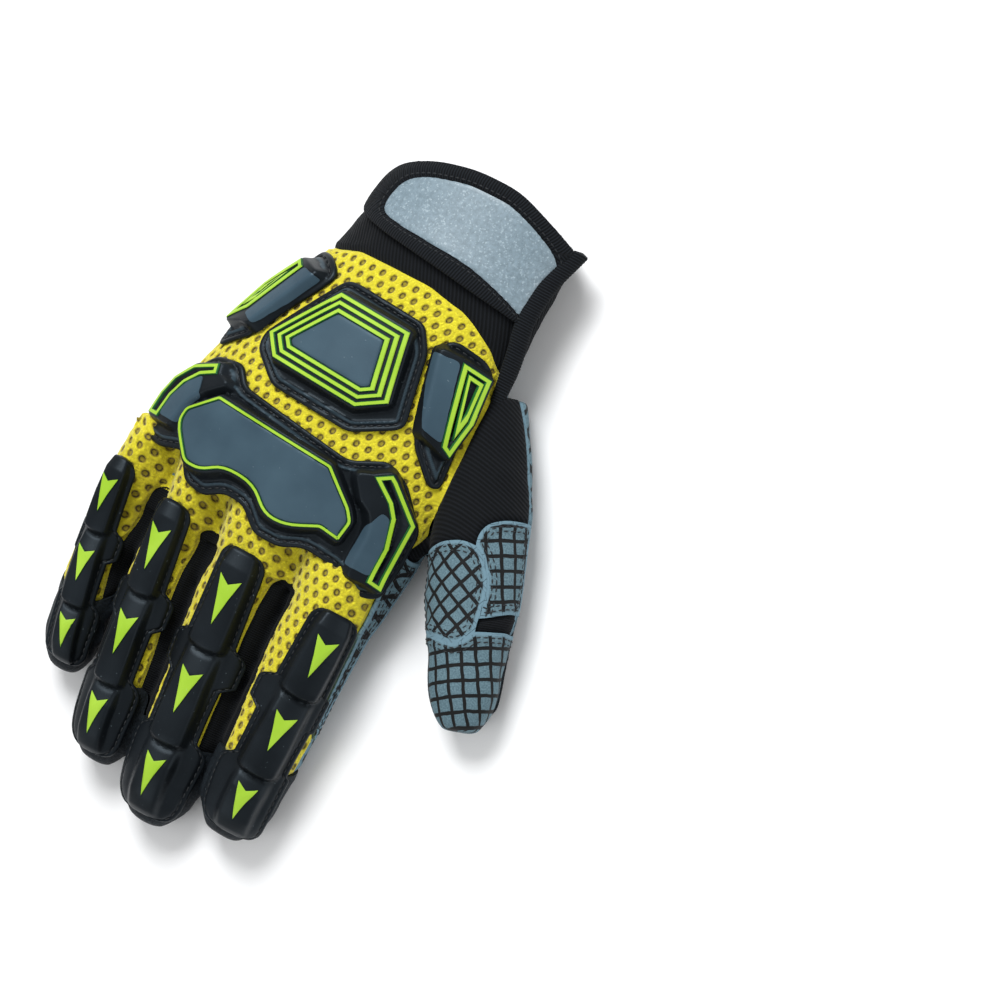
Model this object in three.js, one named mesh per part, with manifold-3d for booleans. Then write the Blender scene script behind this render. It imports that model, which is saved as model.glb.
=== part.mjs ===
// Impact glove for the right hand, lying palm down: fingers towards -Y, thumb towards +X, back up.
// A hollow sewn shell of cloth panels carries moulded rubber guards, grip pads, a cuff and a closing strap.
import * as THREE from 'three';
import { mergeVertices } from 'three/addons/utils/BufferGeometryUtils.js';
import Module from 'manifold-3d';

const wasm = await Module();
wasm.setup();

// Driving sizes in millimetres
const GLOVE_LENGTH = 256;        // cuff edge to the seam of the middle finger's tip
const HAND_WIDTH = 118;          // across the knuckles
const HAND_HEIGHT = 38;          // resting plane to the back of the hand
const THUMB_LENGTH = 118;        // from inside the palm to the tip
const THUMB_WIDTH = 36;          // at its widest, by the web
const THUMB_TURN = 23;           // degrees away from the fingers
const WALL = 2;                  // cloth and its backing
const GAP = 0.3;                 // clearance between neighbouring pieces
const SEAT = 0.6;                // clearance under a moulded guard, which bridges the flats of the shell
const PAD_THICKNESS = 1.2;       // grip pads of the palm side
const PAD_SEAT = 0.4;            // clearance under a grip pad
const FLANGE_THICKNESS = 1.4;    // sewn edge of a guard
const GUARD_HEIGHT = 6;          // plateau of a hand guard above the cloth
const FINGER_GUARD_HEIGHT = 5.4; // crest of a finger guard above the cloth
const BLOCK_FOOT = 2.2;          // how far the slope of a block reaches past its plateau
const BLOCK_RIM = 0.8;           // black rim of the plateau outside its outline
const BLOCK_SUNK = 0.6;          // how far a block reaches into its flange
const CROWN = 0.5;               // rounding of a finger guard's crest
const CREST_SLOPE = 1.2;         // width of the slope beside the crest
const INLAY_THICKNESS = 0.7;     // coloured rubber on top of a guard
const INLAY_SEAT = 0.6;          // clearance under it
const LINE_WIDTH = 1.7;          // coloured outlines
const STRAP_THICKNESS = 2.1;     // closing strap without its rim
const STRAP_SEAT = 0.95;         // clearance between the strap and what is sewn on it
const RIM_HEIGHT = 2;            // bound rim above the strap
const RIM_ROUND = 0.6;           // rounding of its edges
const PANEL_CLEARANCE = 1;       // between the rim and the reflective face
const BINDING_WIDTH = 5.4;       // rolled edge of the cuff slit
const BINDING_HEIGHT = 3.8;
const BINDING_ROUND = 1.3;       // rounding of its top
const SIDES = { hand: 20, finger: 12, thumb: 12 };       // of each tube of the shell
const INNER_SIDES = { hand: 12, finger: 8, thumb: 8 };   // of its hollow

const FLOOR = PAD_THICKNESS + PAD_SEAT;   // the shell rests on its pads
const BEYOND = 400;                  // reach of a cutting solid past the glove

// A table gives each row as an object with the named columns.
const table = (columns, rows) => rows.map(row => Object.fromEntries(
  columns.split(' ').map((column, i) => [column, row[i]])));

// Height of the seam between the back and the palm: along in shares of the glove length from
// the knuckle line towards the fingertips, height in shares of the hand height
const SEAM = table('along height', [
  [-0.60, 0.42], [-0.31, 0.42], [-0.235, 0.395], [-0.155, 0.37], [-0.08, 0.345],
  [0, 0.33], [0.14, 0.33], [0.235, 0.315], [0.35, 0.29], [0.47, 0.265], [0.60, 0.265]]);

// Sections of the hand and cuff: middle and half in shares of the hand width, top and base of the height
const HAND = table('along middle half top base', [
  [-0.49, 0.187, 0.327, 0.89, 0.00],
  [-0.39, 0.164, 0.332, 0.89, 0.00],
  [-0.31, 0.142, 0.355, 0.92, 0.00],
  [-0.235, 0.106, 0.397, 0.97, -0.03],
  [-0.155, 0.071, 0.447, 1.00, -0.05],
  [-0.08, 0.040, 0.475, 1.00, -0.03],
  [0.00, 0.018, 0.497, 0.97, 0.00],
  [0.08, -0.007, 0.502, 0.90, 0.05],
  [0.137, -0.016, 0.497, 0.76, 0.10]]);

// Each finger: root and tip across from the hand's axis, bow of its line, all in shares of the hand width;
// reach of its tip in shares of the glove length; widths at root and tip; height against the common profile
const FINGERS = table('name root tip bow reach rootWidth tipWidth height', [
  ['index', 0.329, 0.339, 0, 0.486, 0.296, 0.243, 1],
  ['middle', 0.014, 0.097, 0, 0.523, 0.290, 0.252, 1],
  ['ring', -0.246, -0.146, -0.006, 0.485, 0.230, 0.218, 1],
  ['little', -0.437, -0.387, -0.021, 0.397, 0.188, 0.183, 0.93]]);
const FINGER_START = 0.02;   // share of the glove length, inside the hand

// Profile of a finger: along from its start to its tip, width against its own, top and base
// against the hand's height
const FINGER_PROFILE = table('along width top base', [
  [0.00, 0.80, 0.87, 0.08],
  [0.25, 1.00, 0.77, 0.09],
  [0.46, 1.00, 0.70, 0.08],
  [0.77, 1.00, 0.605, 0.04],
  [0.885, 0.99, 0.565, 0.00],
  [0.955, 0.80, 0.50, 0.02],
  [1.00, 0.36, 0.38, 0.11]]);

// Thumb: where its line starts, and its sections in shares of its length, its width and the hand height
const THUMB_START = { across: 0.48, along: -0.223 };
const THUMB_SEAM = 0.37;
const THUMB_PROFILE = table('along width top base', [
  [0.00, 0.59, 0.62, 0.00],
  [0.15, 0.82, 0.68, 0.00],
  [0.34, 1.00, 0.73, 0.00],
  [0.63, 0.95, 0.69, 0.03],
  [0.75, 0.80, 0.66, 0.03],
  [0.89, 0.69, 0.60, 0.02],
  [0.96, 0.56, 0.54, 0.06],
  [1.00, 0.32, 0.45, 0.15]]);

// Colours and finishes
const cloth = (color, roughness = 0.9) => new THREE.MeshStandardMaterial({ color, roughness, metalness: 0 });
const YELLOW_MESH = cloth('#ebdd22');
const GRID_CLOTH = cloth('#6f8b95');
const BLACK_KNIT = cloth('#16191c');
const BLACK_GRIP = cloth('#1c242b', 0.7);
const REFLECTIVE = cloth('#8fa3af', 0.35);
const BLACK_RUBBER = cloth('#181d22', 0.5);
const SLATE_RUBBER = cloth('#42596a', 0.5);
const LIME_RUBBER = cloth('#b5dc3a', 0.5);

// Reads a table at any place along it, straight between rows
function rowAt(rows, along) {
  const last = rows.length - 1;
  const next = Math.min(Math.max(rows.findIndex(row => row.along > along), 1), last);
  const end = along >= rows[last].along ? last : next;
  const [a, b] = [rows[end - 1], rows[end]];
  const share = THREE.MathUtils.clamp((along - a.along) / (b.along - a.along), 0, 1);
  const mixed = { along };
  for (const key of Object.keys(a)) {
    if (key !== 'along') mixed[key] = a[key] + (b[key] - a[key]) * share;
  }
  return mixed;
}
const seamAt = along => rowAt(SEAM, along / GLOVE_LENGTH).height * HAND_HEIGHT;

// Sections of the six tubes in millimetres, at a place along each tube
function handSection(along) {
  const row = rowAt(HAND, along / GLOVE_LENGTH);
  return { middle: row.middle * HAND_WIDTH, half: row.half * HAND_WIDTH, seam: seamAt(along),
    top: row.top * HAND_HEIGHT, base: row.base * HAND_HEIGHT };
}
const fingerSpan = finger => ({ start: FINGER_START * GLOVE_LENGTH, end: finger.reach * GLOVE_LENGTH });
function fingerSection(finger, along) {
  const { start, end } = fingerSpan(finger);
  const share = THREE.MathUtils.clamp((along - start) / (end - start), 0, 1);
  const row = rowAt(FINGER_PROFILE, share);
  const width = finger.rootWidth + (finger.tipWidth - finger.rootWidth) * share;
  const middle = finger.root + (finger.tip - finger.root) * share + finger.bow * 4 * share * (1 - share);
  return { middle: middle * HAND_WIDTH, half: row.width * width * HAND_WIDTH / 2, seam: seamAt(along),
    top: row.top * finger.height * HAND_HEIGHT, base: row.base * HAND_HEIGHT };
}
function thumbSection(along) {
  const row = rowAt(THUMB_PROFILE, along / THUMB_LENGTH);
  return { middle: 0, half: row.width * THUMB_WIDTH / 2, seam: THUMB_SEAM * HAND_HEIGHT,
    top: row.top * HAND_HEIGHT, base: row.base * HAND_HEIGHT };
}

// A point of a section at an angle from its +X side, grown outwards; the underside is flat where it rests
function sectionPoint(section, angle, grow) {
  const rise = Math.sin(angle) >= 0 ? section.top - section.seam : section.seam - section.base;
  const z = section.seam + (rise + grow) * Math.sin(angle);
  return [section.middle + (section.half + grow) * Math.cos(angle), Math.max(z, FLOOR - grow)];
}

// A closed solid from rings of equal length, with a flat end at each side
function loft(rings) {
  const count = rings[0].length;
  const points = rings.flat();
  const ends = [rings[0], rings[rings.length - 1]].map(ring => ring.reduce(
    (sum, p) => sum.map((value, i) => value + p[i] / count), [0, 0, 0]));
  const [first, last] = [points.length, points.length + 1];
  const faces = [];
  for (let j = 0; j < count; j++) {
    const next = (j + 1) % count;
    for (let i = 0; i + 1 < rings.length; i++) {
      const [a, b] = [i * count + j, i * count + next];
      faces.push(a, b, a + count, b, b + count, a + count);
    }
    const row = (rings.length - 1) * count;
    faces.push(first, next, j, last, row + j, row + next);
  }
  return geometryOf([...points, ...ends], faces);
}
function geometryOf(points, faces) {
  const geometry = new THREE.BufferGeometry();
  geometry.setAttribute('position', new THREE.Float32BufferAttribute(points.flat(), 3));
  geometry.setIndex(faces);
  return geometry;
}

// Signed volume, which tells whether the faces point out
function volumeOf(position, index) {
  let volume = 0;
  const [a, b, c] = [new THREE.Vector3(), new THREE.Vector3(), new THREE.Vector3()];
  for (let i = 0; i < index.count; i += 3) {
    a.fromBufferAttribute(position, index.getX(i));
    b.fromBufferAttribute(position, index.getX(i + 1));
    c.fromBufferAttribute(position, index.getX(i + 2));
    volume += a.dot(b.cross(c)) / 6;
  }
  return volume;
}
function solid(source) {
  const bare = source.clone();
  bare.deleteAttribute('normal');
  bare.deleteAttribute('uv');
  const merged = mergeVertices(bare, 1e-4);
  const triVerts = new Uint32Array(merged.index.array);
  if (volumeOf(merged.attributes.position, merged.index) < 0) {
    for (let i = 0; i < triVerts.length; i += 3) {
      [triVerts[i + 1], triVerts[i + 2]] = [triVerts[i + 2], triVerts[i + 1]];
    }
  }
  const vertProperties = new Float32Array(merged.attributes.position.array);
  return new wasm.Manifold(new wasm.Mesh({ numProp: 3, vertProperties, triVerts }));
}

// The tubes of the hand, the fingers and the thumb, grown by a distance
const ringOf = (section, grow, sides, place) => Array.from({ length: sides }, (_, i) =>
  place(...sectionPoint(section, 2 * Math.PI * i / sides, grow)));
function handTube(grow) {
  const sides = grow < 0 ? INNER_SIDES.hand : SIDES.hand;
  const open = grow < 0 ? 2 * WALL : 0;
  return solid(loft(HAND.map((row, i) => {
    const shift = i === 0 ? -open : i === HAND.length - 1 ? Math.min(grow, 0) : 0;
    const along = row.along * GLOVE_LENGTH + shift;
    return ringOf(handSection(along), grow, sides, (x, z) => [x, -along, z]);
  })));
}
function fingerTube(finger, grow) {
  const { start, end } = fingerSpan(finger);
  const sides = grow < 0 ? INNER_SIDES.finger : SIDES.finger;
  return solid(loft(FINGER_PROFILE.map(row => {
    const along = start + (end - start) * row.along;
    const placed = start + (end + grow - start) * row.along;
    return ringOf(fingerSection(finger, along), grow, sides, (x, z) => [x, -placed, z]);
  })));
}
const turn = THREE.MathUtils.degToRad(THUMB_TURN);
function fromThumb(across, along, z) {
  return [THUMB_START.across * HAND_WIDTH + across * Math.cos(turn) + along * Math.sin(turn),
    -(THUMB_START.along * GLOVE_LENGTH + along * Math.cos(turn) - across * Math.sin(turn)), z];
}
function thumbTube(grow) {
  const sides = grow < 0 ? INNER_SIDES.thumb : SIDES.thumb;
  return solid(loft(THUMB_PROFILE.map(row => {
    const along = THUMB_LENGTH * row.along;
    const placed = (THUMB_LENGTH + grow) * row.along;
    return ringOf(thumbSection(along), grow, sides, (x, z) => fromThumb(x, placed, z));
  })));
}
function skin(grow) {
  const tubes = [...FINGERS.map(finger => fingerTube(finger, grow)), thumbTube(grow)];
  return tubes.reduce((whole, tube) => whole.add(tube), handTube(grow));
}

// Outlines are drawn on the hand: across in shares of its width, along in shares of the glove length
const sized = (outline, width = HAND_WIDTH, length = GLOVE_LENGTH) =>
  outline.map(([across, along]) => [across * width, along * length]);
const signedArea = outline => THREE.ShapeUtils.area(outline.map(([x, y]) => new THREE.Vector2(x, y)));

// An outline moved outwards by a distance, corner by corner
function outset(outline, distance) {
  const side = signedArea(outline) > 0 ? 1 : -1;
  const count = outline.length;
  return outline.map((point, i) => {
    const [before, after] = [outline[(i + count - 1) % count], outline[(i + 1) % count]];
    const into = new THREE.Vector2(point[0] - before[0], point[1] - before[1]).normalize();
    const out = new THREE.Vector2(after[0] - point[0], after[1] - point[1]).normalize();
    const normal = new THREE.Vector2(into.y + out.y, -into.x - out.x).normalize();
    const reach = side * distance / Math.max(normal.x * into.y - normal.y * into.x, 0.4);
    return [point[0] + normal.x * reach, point[1] + normal.y * reach];
  });
}

// A cutting solid that stands upright on an outline
function prism(outline) {
  const shape = new THREE.Shape(outline.map(([x, along]) => new THREE.Vector2(x, -along)));
  const geometry = new THREE.ExtrudeGeometry(shape, { depth: BEYOND, bevelEnabled: false });
  return solid(geometry.translate(0, 0, -BEYOND / 2));
}

// A cutting solid across the glove from an outline drawn in along and z
function slab(outline) {
  const shape = new THREE.Shape(outline.map(([along, z]) => new THREE.Vector2(along, z)));
  const geometry = new THREE.ExtrudeGeometry(shape, { depth: BEYOND, bevelEnabled: false });
  const basis = new THREE.Matrix4().makeBasis(
    new THREE.Vector3(0, -1, 0), new THREE.Vector3(0, 0, 1), new THREE.Vector3(-1, 0, 0));
  return solid(geometry.applyMatrix4(basis).translate(BEYOND / 2, 0, 0));
}
function besideSeam(side, distance = GAP / 2) {
  const line = SEAM.map(row => [row.along * GLOVE_LENGTH, row.height * HAND_HEIGHT + side * distance]);
  const edge = side * HAND_HEIGHT * 4;
  return slab([...line, [line[line.length - 1][0], edge], [line[0][0], edge]]);
}
const aboveSeam = besideSeam(1);
const belowSeam = besideSeam(-1);

// Every piece goes into the glove as a named mesh
const glove = new THREE.Group();
function add(name, shape, material) {
  const { vertProperties, triVerts } = shape.getMesh();
  const geometry = new THREE.BufferGeometry();
  geometry.setAttribute('position', new THREE.BufferAttribute(new Float32Array(vertProperties), 3));
  geometry.setIndex(new THREE.BufferAttribute(new Uint32Array(triVerts), 1));
  const mesh = new THREE.Mesh(geometry, material);
  mesh.name = name;
  glove.add(mesh);
}

// Shell: outer skin less inner skin, its cuff edge cut to a curve
const CUFF_EDGE = [[-0.60, -0.40], [-0.20, -0.425], [-0.085, -0.452], [0.02, -0.473], [0.12, -0.486],
  [0.30, -0.488], [0.38, -0.478], [0.46, -0.462], [0.90, -0.44], [0.90, 0.60], [-0.60, 0.60]];
const kept = prism(sized(CUFF_EDGE));
let shell = skin(0).subtract(skin(-WALL)).intersect(kept);

// The largest body of a cut piece: what else falls on its side of a seam is an offcut
const mainBody = shape => shape.decompose().reduce((a, b) => a.volume() > b.volume() ? a : b);

// Takes a region out of the shell as a piece, and leaves a gap round it
function take(region) {
  const piece = shell.intersect(prism(region));
  shell = shell.subtract(prism(outset(region, GAP)));
  return mainBody(piece);
}

// Cuff, from its edge to the wrist seam, which climbs to the thumb
const WRIST_SEAM = [[-0.60, -0.305], [-0.17, -0.307], [-0.06, -0.32], [0.21, -0.316], [0.34, -0.305],
  [0.43, -0.281], [0.47, -0.262], [0.52, -0.245], [0.80, -0.24], [0.80, -0.60], [-0.60, -0.60]];
add('cuff', take(sized(WRIST_SEAM)), BLACK_KNIT);

// Finger caps: each starts at a slanted seam, farther back on the palm side; in shares of the glove length
const CAPS = table('name back palm', [
  ['index', 0.381, 0.345], ['middle', 0.398, 0.388], ['ring', 0.368, 0.342], ['little', 0.302, 0.222]]);
// Creases between neighbouring fingers, and the half width of the strip sewn into each
const CREASES = table('name half line', [
  ['index_middle', 0.036, [[0.178, 0.117], [0.186, 0.235], [0.201, 0.312], [0.215, 0.42], [0.215, 0.55]]],
  ['middle_ring', 0.026, [[-0.114, 0.111], [-0.096, 0.235], [-0.069, 0.312], [-0.048, 0.41], [-0.048, 0.55]]],
  ['ring_little', 0.028, [[-0.334, 0.088], [-0.330, 0.235], [-0.308, 0.293], [-0.280, 0.36],
    [-0.280, 0.55]]]]);
function capRegion(i) {
  const left = i === CAPS.length - 1 ? [[-0.6, 0.1], [-0.6, 0.55]] : CREASES[i].line;
  const right = i === 0 ? [[0.53, 0.1], [0.53, 0.55]] : CREASES[i - 1].line;
  return outset([...sized(right), ...sized(left).reverse()], -GAP / 2);
}
function capEnd(i, grow) {
  const [back, palm] = [CAPS[i].back * GLOVE_LENGTH - grow, CAPS[i].palm * GLOVE_LENGTH - grow];
  return slab([[palm, -HAND_HEIGHT], [palm, 0], [back, seamAt(back) * 2], [back, BEYOND / 4],
    [BEYOND / 2, BEYOND / 4], [BEYOND / 2, -HAND_HEIGHT]]);
}
CAPS.forEach((cap, i) => {
  const region = prism(capRegion(i));
  add(`finger_cap_${cap.name}`, mainBody(shell.intersect(region).intersect(capEnd(i, 0))), BLACK_GRIP);
});
CAPS.forEach((cap, i) => {
  const region = prism(outset(capRegion(i), GAP));
  shell = shell.subtract(region.intersect(capEnd(i, GAP)));
});

// Side strips between the fingers
for (const crease of CREASES) {
  const line = sized(crease.line);
  const half = crease.half * HAND_WIDTH;
  const [near, far] = [line[0], line[line.length - 1]];
  const region = [[near[0], near[1] - half / 2], ...line.map(([x, along]) => [x + half, along]),
    [far[0], far[1] + half], ...line.map(([x, along]) => [x - half, along]).reverse()];
  add(`side_strip_${crease.name}`, take(region), BLACK_KNIT);
}

// Thumb: tip piece, band, and the two patches of its saddle
const THUMB_HEM = [[0.60, 0.108], [0.645, 0.104], [0.77, 0.098], [0.81, 0.068], [0.86, 0.055], [1.1, 0.03],
  [1.1, 0.3], [0.60, 0.3]];
add('thumb_tip', take(sized(THUMB_HEM)), GRID_CLOTH);

// The palm side of what is left is one panel; the back is cut on
const palmPanel = shell.intersect(belowSeam);
shell = shell.intersect(aboveSeam);

const WEB_PATCH = [[0.497, 0.024], [0.542, 0.002], [0.585, -0.018], [0.63, -0.03], [0.675, -0.035],
  [0.73, -0.02], [0.76, 0], [0.78, 0.024], [0.79, 0.046], [0.81, 0.09], [0.62, 0.12], [0.52, 0.06]];
add('thumb_web_patch', take(sized(WEB_PATCH)), GRID_CLOTH);
const SIDE_PATCH = [[0.675, -0.042], [0.685, -0.068], [0.73, -0.085], [0.80, -0.098], [0.95, -0.08],
  [0.95, 0.002], [0.865, 0.02], [0.80, 0.05], [0.785, 0.02], [0.765, -0.002], [0.73, -0.024]];
add('thumb_side_patch', take(sized(SIDE_PATCH)), GRID_CLOTH);
const THUMB_BAND = [[0.785, 0.052], [0.865, 0.022], [0.95, 0.004], [0.98, 0.2], [0.75, 0.2]];
add('thumb_band', take(sized(THUMB_BAND)), BLACK_KNIT);

// Strip of palm cloth that rolls over the thumb side of the index finger
const INDEX_STRIP = [[0.463, 0.02], [0.488, 0.028], [0.60, 0.03], [0.60, 0.308], [0.464, 0.308],
  [0.459, 0.235], [0.460, 0.137], [0.461, 0.08]];
add('index_strip', take(sized(INDEX_STRIP)), GRID_CLOTH);

// Ribbed stretch panel between the back and the thumb
const STRETCH_PANEL = [[0.497, -0.30], [0.497, -0.223], [0.505, -0.168], [0.508, -0.08], [0.500, 0],
  [0.475, 0.026], [0.60, 0.05], [1.0, 0.05], [1.0, -0.30]];
add('stretch_panel', take(sized(STRETCH_PANEL)), BLACK_KNIT);
add('back_panel', mainBody(shell), YELLOW_MESH);
add('palm_panel', mainBody(palmPanel), GRID_CLOTH);

// Grip pads on the palm side, in a layer just outside the shell
const padLayer = skin(PAD_SEAT + PAD_THICKNESS).subtract(skin(PAD_SEAT));
const PAD_BELOW_SEAM = 4;
const underside = besideSeam(-1, PAD_BELOW_SEAM);
const pad = (name, outline) =>
  add(name, padLayer.intersect(prism(sized(outline))).intersect(underside), BLACK_GRIP);
pad('palm_pad_heel', [[-0.40, -0.06], [-0.36, -0.15], [-0.29, -0.215], [-0.12, -0.30], [0.025, -0.306],
  [0.034, -0.297], [0.017, -0.242], [0.034, -0.188], [0.144, -0.094], [0.229, -0.066], [0.242, -0.072],
  [0.17, -0.105], [0.064, -0.195], [0.051, -0.242], [0.068, -0.297], [0.25, -0.295], [0.38, -0.268],
  [0.49, -0.20], [0.58, -0.12], [0.57, -0.06], [0.47, -0.03], [0.39, 0], [0.305, 0.017], [0.20, 0.015],
  [-0.12, -0.026]]);
pad('palm_pad_fingers', [[-0.42, -0.025], [-0.28, -0.031], [0.20, 0.031], [0.34, 0.038], [0.42, 0.055],
  [0.41, 0.192], [0.235, 0.192], [0.22, 0.129], [0.14, 0.129], [0.13, 0.168], [-0.07, 0.168],
  [-0.08, 0.121], [-0.15, 0.121], [-0.16, 0.137], [-0.29, 0.137], [-0.30, 0.07], [-0.37, 0.07],
  [-0.38, 0.098], [-0.46, 0.098]]);
pad('thumb_pad', [[0.68, 0.04], [0.80, 0.005], [0.905, 0.15], [0.86, 0.18], [0.80, 0.175], [0.72, 0.10]]);

// A place on a section at a distance round it from its crest, lifted off it
function aroundSection(section, distance, lift) {
  const step = Math.sign(distance) * Math.PI / 180;
  let angle = Math.PI / 2;
  let walked = 0;
  const rise = section.top - section.seam;
  while (walked < Math.abs(distance) && step !== 0) {
    const pace = Math.hypot(section.half * Math.sin(angle), rise * Math.cos(angle)) * Math.abs(step);
    const share = Math.min(1, (Math.abs(distance) - walked) / pace);
    angle -= step * share;
    walked += pace;
  }
  return [section.middle + (section.half + lift) * Math.cos(angle),
    section.seam + (rise + lift) * Math.sin(angle)];
}
const onHand = ([across, along, lift]) => {
  const [x, z] = aroundSection(handSection(along), across, lift);
  return [x, -along, z];
};

// A plate drawn flat as outlines with rising layers, split into short edges and bent over the hand,
// which curves less along than across
const ALONG_OVER_ACROSS = 2.4;
const STEP = { flat: 18, curved: 8, curvedFrom: HAND_WIDTH * 0.24 };
const handStep = across => Math.abs(across) < STEP.curvedFrom ? STEP.flat : STEP.curved;
function splitEdges(points, faces, stepAt) {
  let todo = faces;
  for (let pass = 0; pass < 6; pass++) {
    const middles = new Map();
    const middle = (a, b) => {
      const [p, q] = [points[a], points[b]];
      const length = Math.hypot(p[0] - q[0], (p[1] - q[1]) / ALONG_OVER_ACROSS);
      if (length <= stepAt((p[0] + q[0]) / 2)) return -1;
      const key = Math.min(a, b) + '-' + Math.max(a, b);
      if (!middles.has(key)) middles.set(key, points.push(p.map((value, i) => (value + q[i]) / 2)) - 1);
      return middles.get(key);
    };
    const done = [];
    for (const [a, b, c] of todo) {
      const [ab, bc, ca] = [middle(a, b), middle(b, c), middle(c, a)];
      const split = [ab, bc, ca].filter(m => m >= 0).length;
      if (split === 0) done.push([a, b, c]);
      else if (split === 3) done.push([a, ab, ca], [ab, b, bc], [ca, bc, c], [ab, bc, ca]);
      else if (split === 1) {
        const [m, p, q, r] = ab >= 0 ? [ab, a, b, c] : bc >= 0 ? [bc, b, c, a] : [ca, c, a, b];
        done.push([p, m, r], [m, q, r]);
      } else {
        const [m, n, p, q, r] = ab < 0 ? [bc, ca, c, a, b] : bc < 0 ? [ca, ab, a, b, c] : [ab, bc, b, c, a];
        done.push([p, n, m], [n, q, r], [n, r, m]);
      }
    }
    todo = done;
    if (middles.size === 0) break;
  }
  return todo;
}
function plate(outline, layers, hole = null, stepAt = handStep, place = onHand) {
  const points = [];
  const faces = [];
  const loops = layers.map(({ inset, lift }) => [outline, ...(hole ? [hole] : [])].map((loop, i) => {
    const moved = outset(loop, i === 0 ? -inset : inset);
    return moved.map(([across, along]) => points.push([across, along, lift]) - 1);
  }));
  for (let k = 0; k + 1 < loops.length; k++) {
    loops[k].forEach((lower, i) => {
      const upper = loops[k + 1][i];
      lower.forEach((a, j) => {
        const next = (j + 1) % lower.length;
        const side = signedArea(i === 0 ? outline : hole) > 0 === (i === 0);
        const quad = [[a, lower[next], upper[j]], [lower[next], upper[next], upper[j]]];
        faces.push(...(side ? quad : quad.map(([p, q, r]) => [p, r, q])));
      });
    });
  }
  for (const [loop, up] of [[loops[0], false], [loops[loops.length - 1], true]]) {
    const flat = loop.map(ids => ids.map(id => new THREE.Vector2(points[id][0], points[id][1])));
    const ids = loop.flat();
    const flip = signedArea(outline) > 0;
    const contour = flip ? flat[0] : [...flat[0]].reverse();
    const order = flip ? loop[0] : [...loop[0]].reverse();
    const all = [...order, ...ids.slice(loop[0].length)];
    for (const [a, b, c] of THREE.ShapeUtils.triangulateShape(contour, flat.slice(1))) {
      faces.push(up ? [all[a], all[b], all[c]] : [all[a], all[c], all[b]]);
    }
  }
  const split = splitEdges(points, faces, stepAt);
  return solid(geometryOf(points.map(place), split.flat()));
}

// A guard or strap lies on the shell: what would reach into it is cut away with a clearance
const shellSkin = skin(GAP);
const seated = shape => mainBody(shape.subtract(shellSkin));

// Layers of a guard: its sewn flange, a block on it, and the inlays on the block
const flangeTop = SEAT + FLANGE_THICKNESS;
const flange = outline => plate(outline, [{ inset: 0, lift: SEAT }, { inset: 0, lift: flangeTop }]);
const block = outline => plate(outline, [
  { inset: -BLOCK_FOOT, lift: flangeTop - BLOCK_SUNK }, { inset: -BLOCK_RIM, lift: GUARD_HEIGHT }]);
const inlayLift = [{ inset: 0, lift: GUARD_HEIGHT + INLAY_SEAT },
  { inset: 0, lift: GUARD_HEIGHT + INLAY_SEAT + INLAY_THICKNESS }];
const lineRing = outline => plate(outline, inlayLift, outset(outline, -LINE_WIDTH));
const face = outline => plate(outline, inlayLift);

// Knuckle guard: a wide flange, a centre block and a raised wing at each side
const KNUCKLE_FLANGE = [[-0.21, -0.078], [0.007, -0.066], [0.198, -0.055], [0.30, -0.08], [0.379, -0.064],
  [0.492, -0.012], [0.503, 0.047], [0.493, 0.094], [0.413, 0.109], [0.333, 0.084], [0.225, 0.08],
  [0.155, 0.096], [0.069, 0.096], [-0.002, 0.068], [-0.074, 0.066], [-0.137, 0.084], [-0.213, 0.078],
  [-0.281, 0.041], [-0.376, 0.053], [-0.455, 0.047], [-0.500, 0.012], [-0.492, -0.045], [-0.385, -0.098],
  [-0.275, -0.104]];
const KNUCKLE_CENTRE = [[-0.23, -0.050], [0.166, -0.038], [0.271, 0.002], [0.297, 0.018], [0.293, 0.049],
  [0.232, 0.045], [0.150, 0.066], [0.078, 0.066], [0.008, 0.037], [-0.094, 0.035], [-0.152, 0.055],
  [-0.214, 0.055], [-0.312, 0.010], [-0.312, -0.014]];
const THUMB_WING = {
  body: [[0.243, -0.044], [0.279, -0.052], [0.349, -0.028], [0.376, -0.012], [0.404, 0.029], [0.412, 0.081],
    [0.366, 0.083], [0.361, 0.027], [0.350, 0.008], [0.328, -0.007], [0.288, -0.018]],
  loop: [[0.279, -0.052], [0.319, -0.066], [0.339, -0.060], [0.443, -0.018], [0.459, 0.084], [0.412, 0.081],
    [0.404, 0.029], [0.376, -0.012], [0.349, -0.028]],
  face: [[0.336, -0.016], [0.358, -0.008], [0.387, 0.033], [0.395, 0.080], [0.370, 0.081], [0.365, 0.026],
    [0.352, 0.004]] };
const OUTER_WING = {
  body: [[-0.287, -0.074], [-0.246, -0.068], [-0.304, -0.046], [-0.336, -0.022], [-0.345, 0.017],
    [-0.395, 0.017], [-0.394, -0.018], [-0.376, -0.042], [-0.339, -0.062]],
  loop: [[-0.302, -0.089], [-0.287, -0.074], [-0.339, -0.062], [-0.376, -0.042], [-0.394, -0.018],
    [-0.395, 0.017], [-0.445, 0.017], [-0.451, -0.016], [-0.437, -0.044], [-0.386, -0.072]],
  face: [[-0.350, 0.016], [-0.350, 0.000], [-0.340, -0.022], [-0.322, -0.036], [-0.337, -0.048],
    [-0.361, -0.036], [-0.378, -0.014], [-0.379, 0.016]] };
const knuckleBlocks = [KNUCKLE_CENTRE, THUMB_WING.body, THUMB_WING.loop, OUTER_WING.body, OUTER_WING.loop];
add('knuckle_guard', seated(knuckleBlocks.map(outline => block(sized(outline)))
  .reduce((whole, raised) => whole.add(raised), flange(sized(KNUCKLE_FLANGE)))), BLACK_RUBBER);
add('knuckle_line', lineRing(sized(KNUCKLE_CENTRE)), LIME_RUBBER);
add('knuckle_face', face(outset(sized(KNUCKLE_CENTRE), -LINE_WIDTH - GAP)), SLATE_RUBBER);
add('wing_line_thumb_side', lineRing(sized(THUMB_WING.loop)), LIME_RUBBER);
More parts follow.
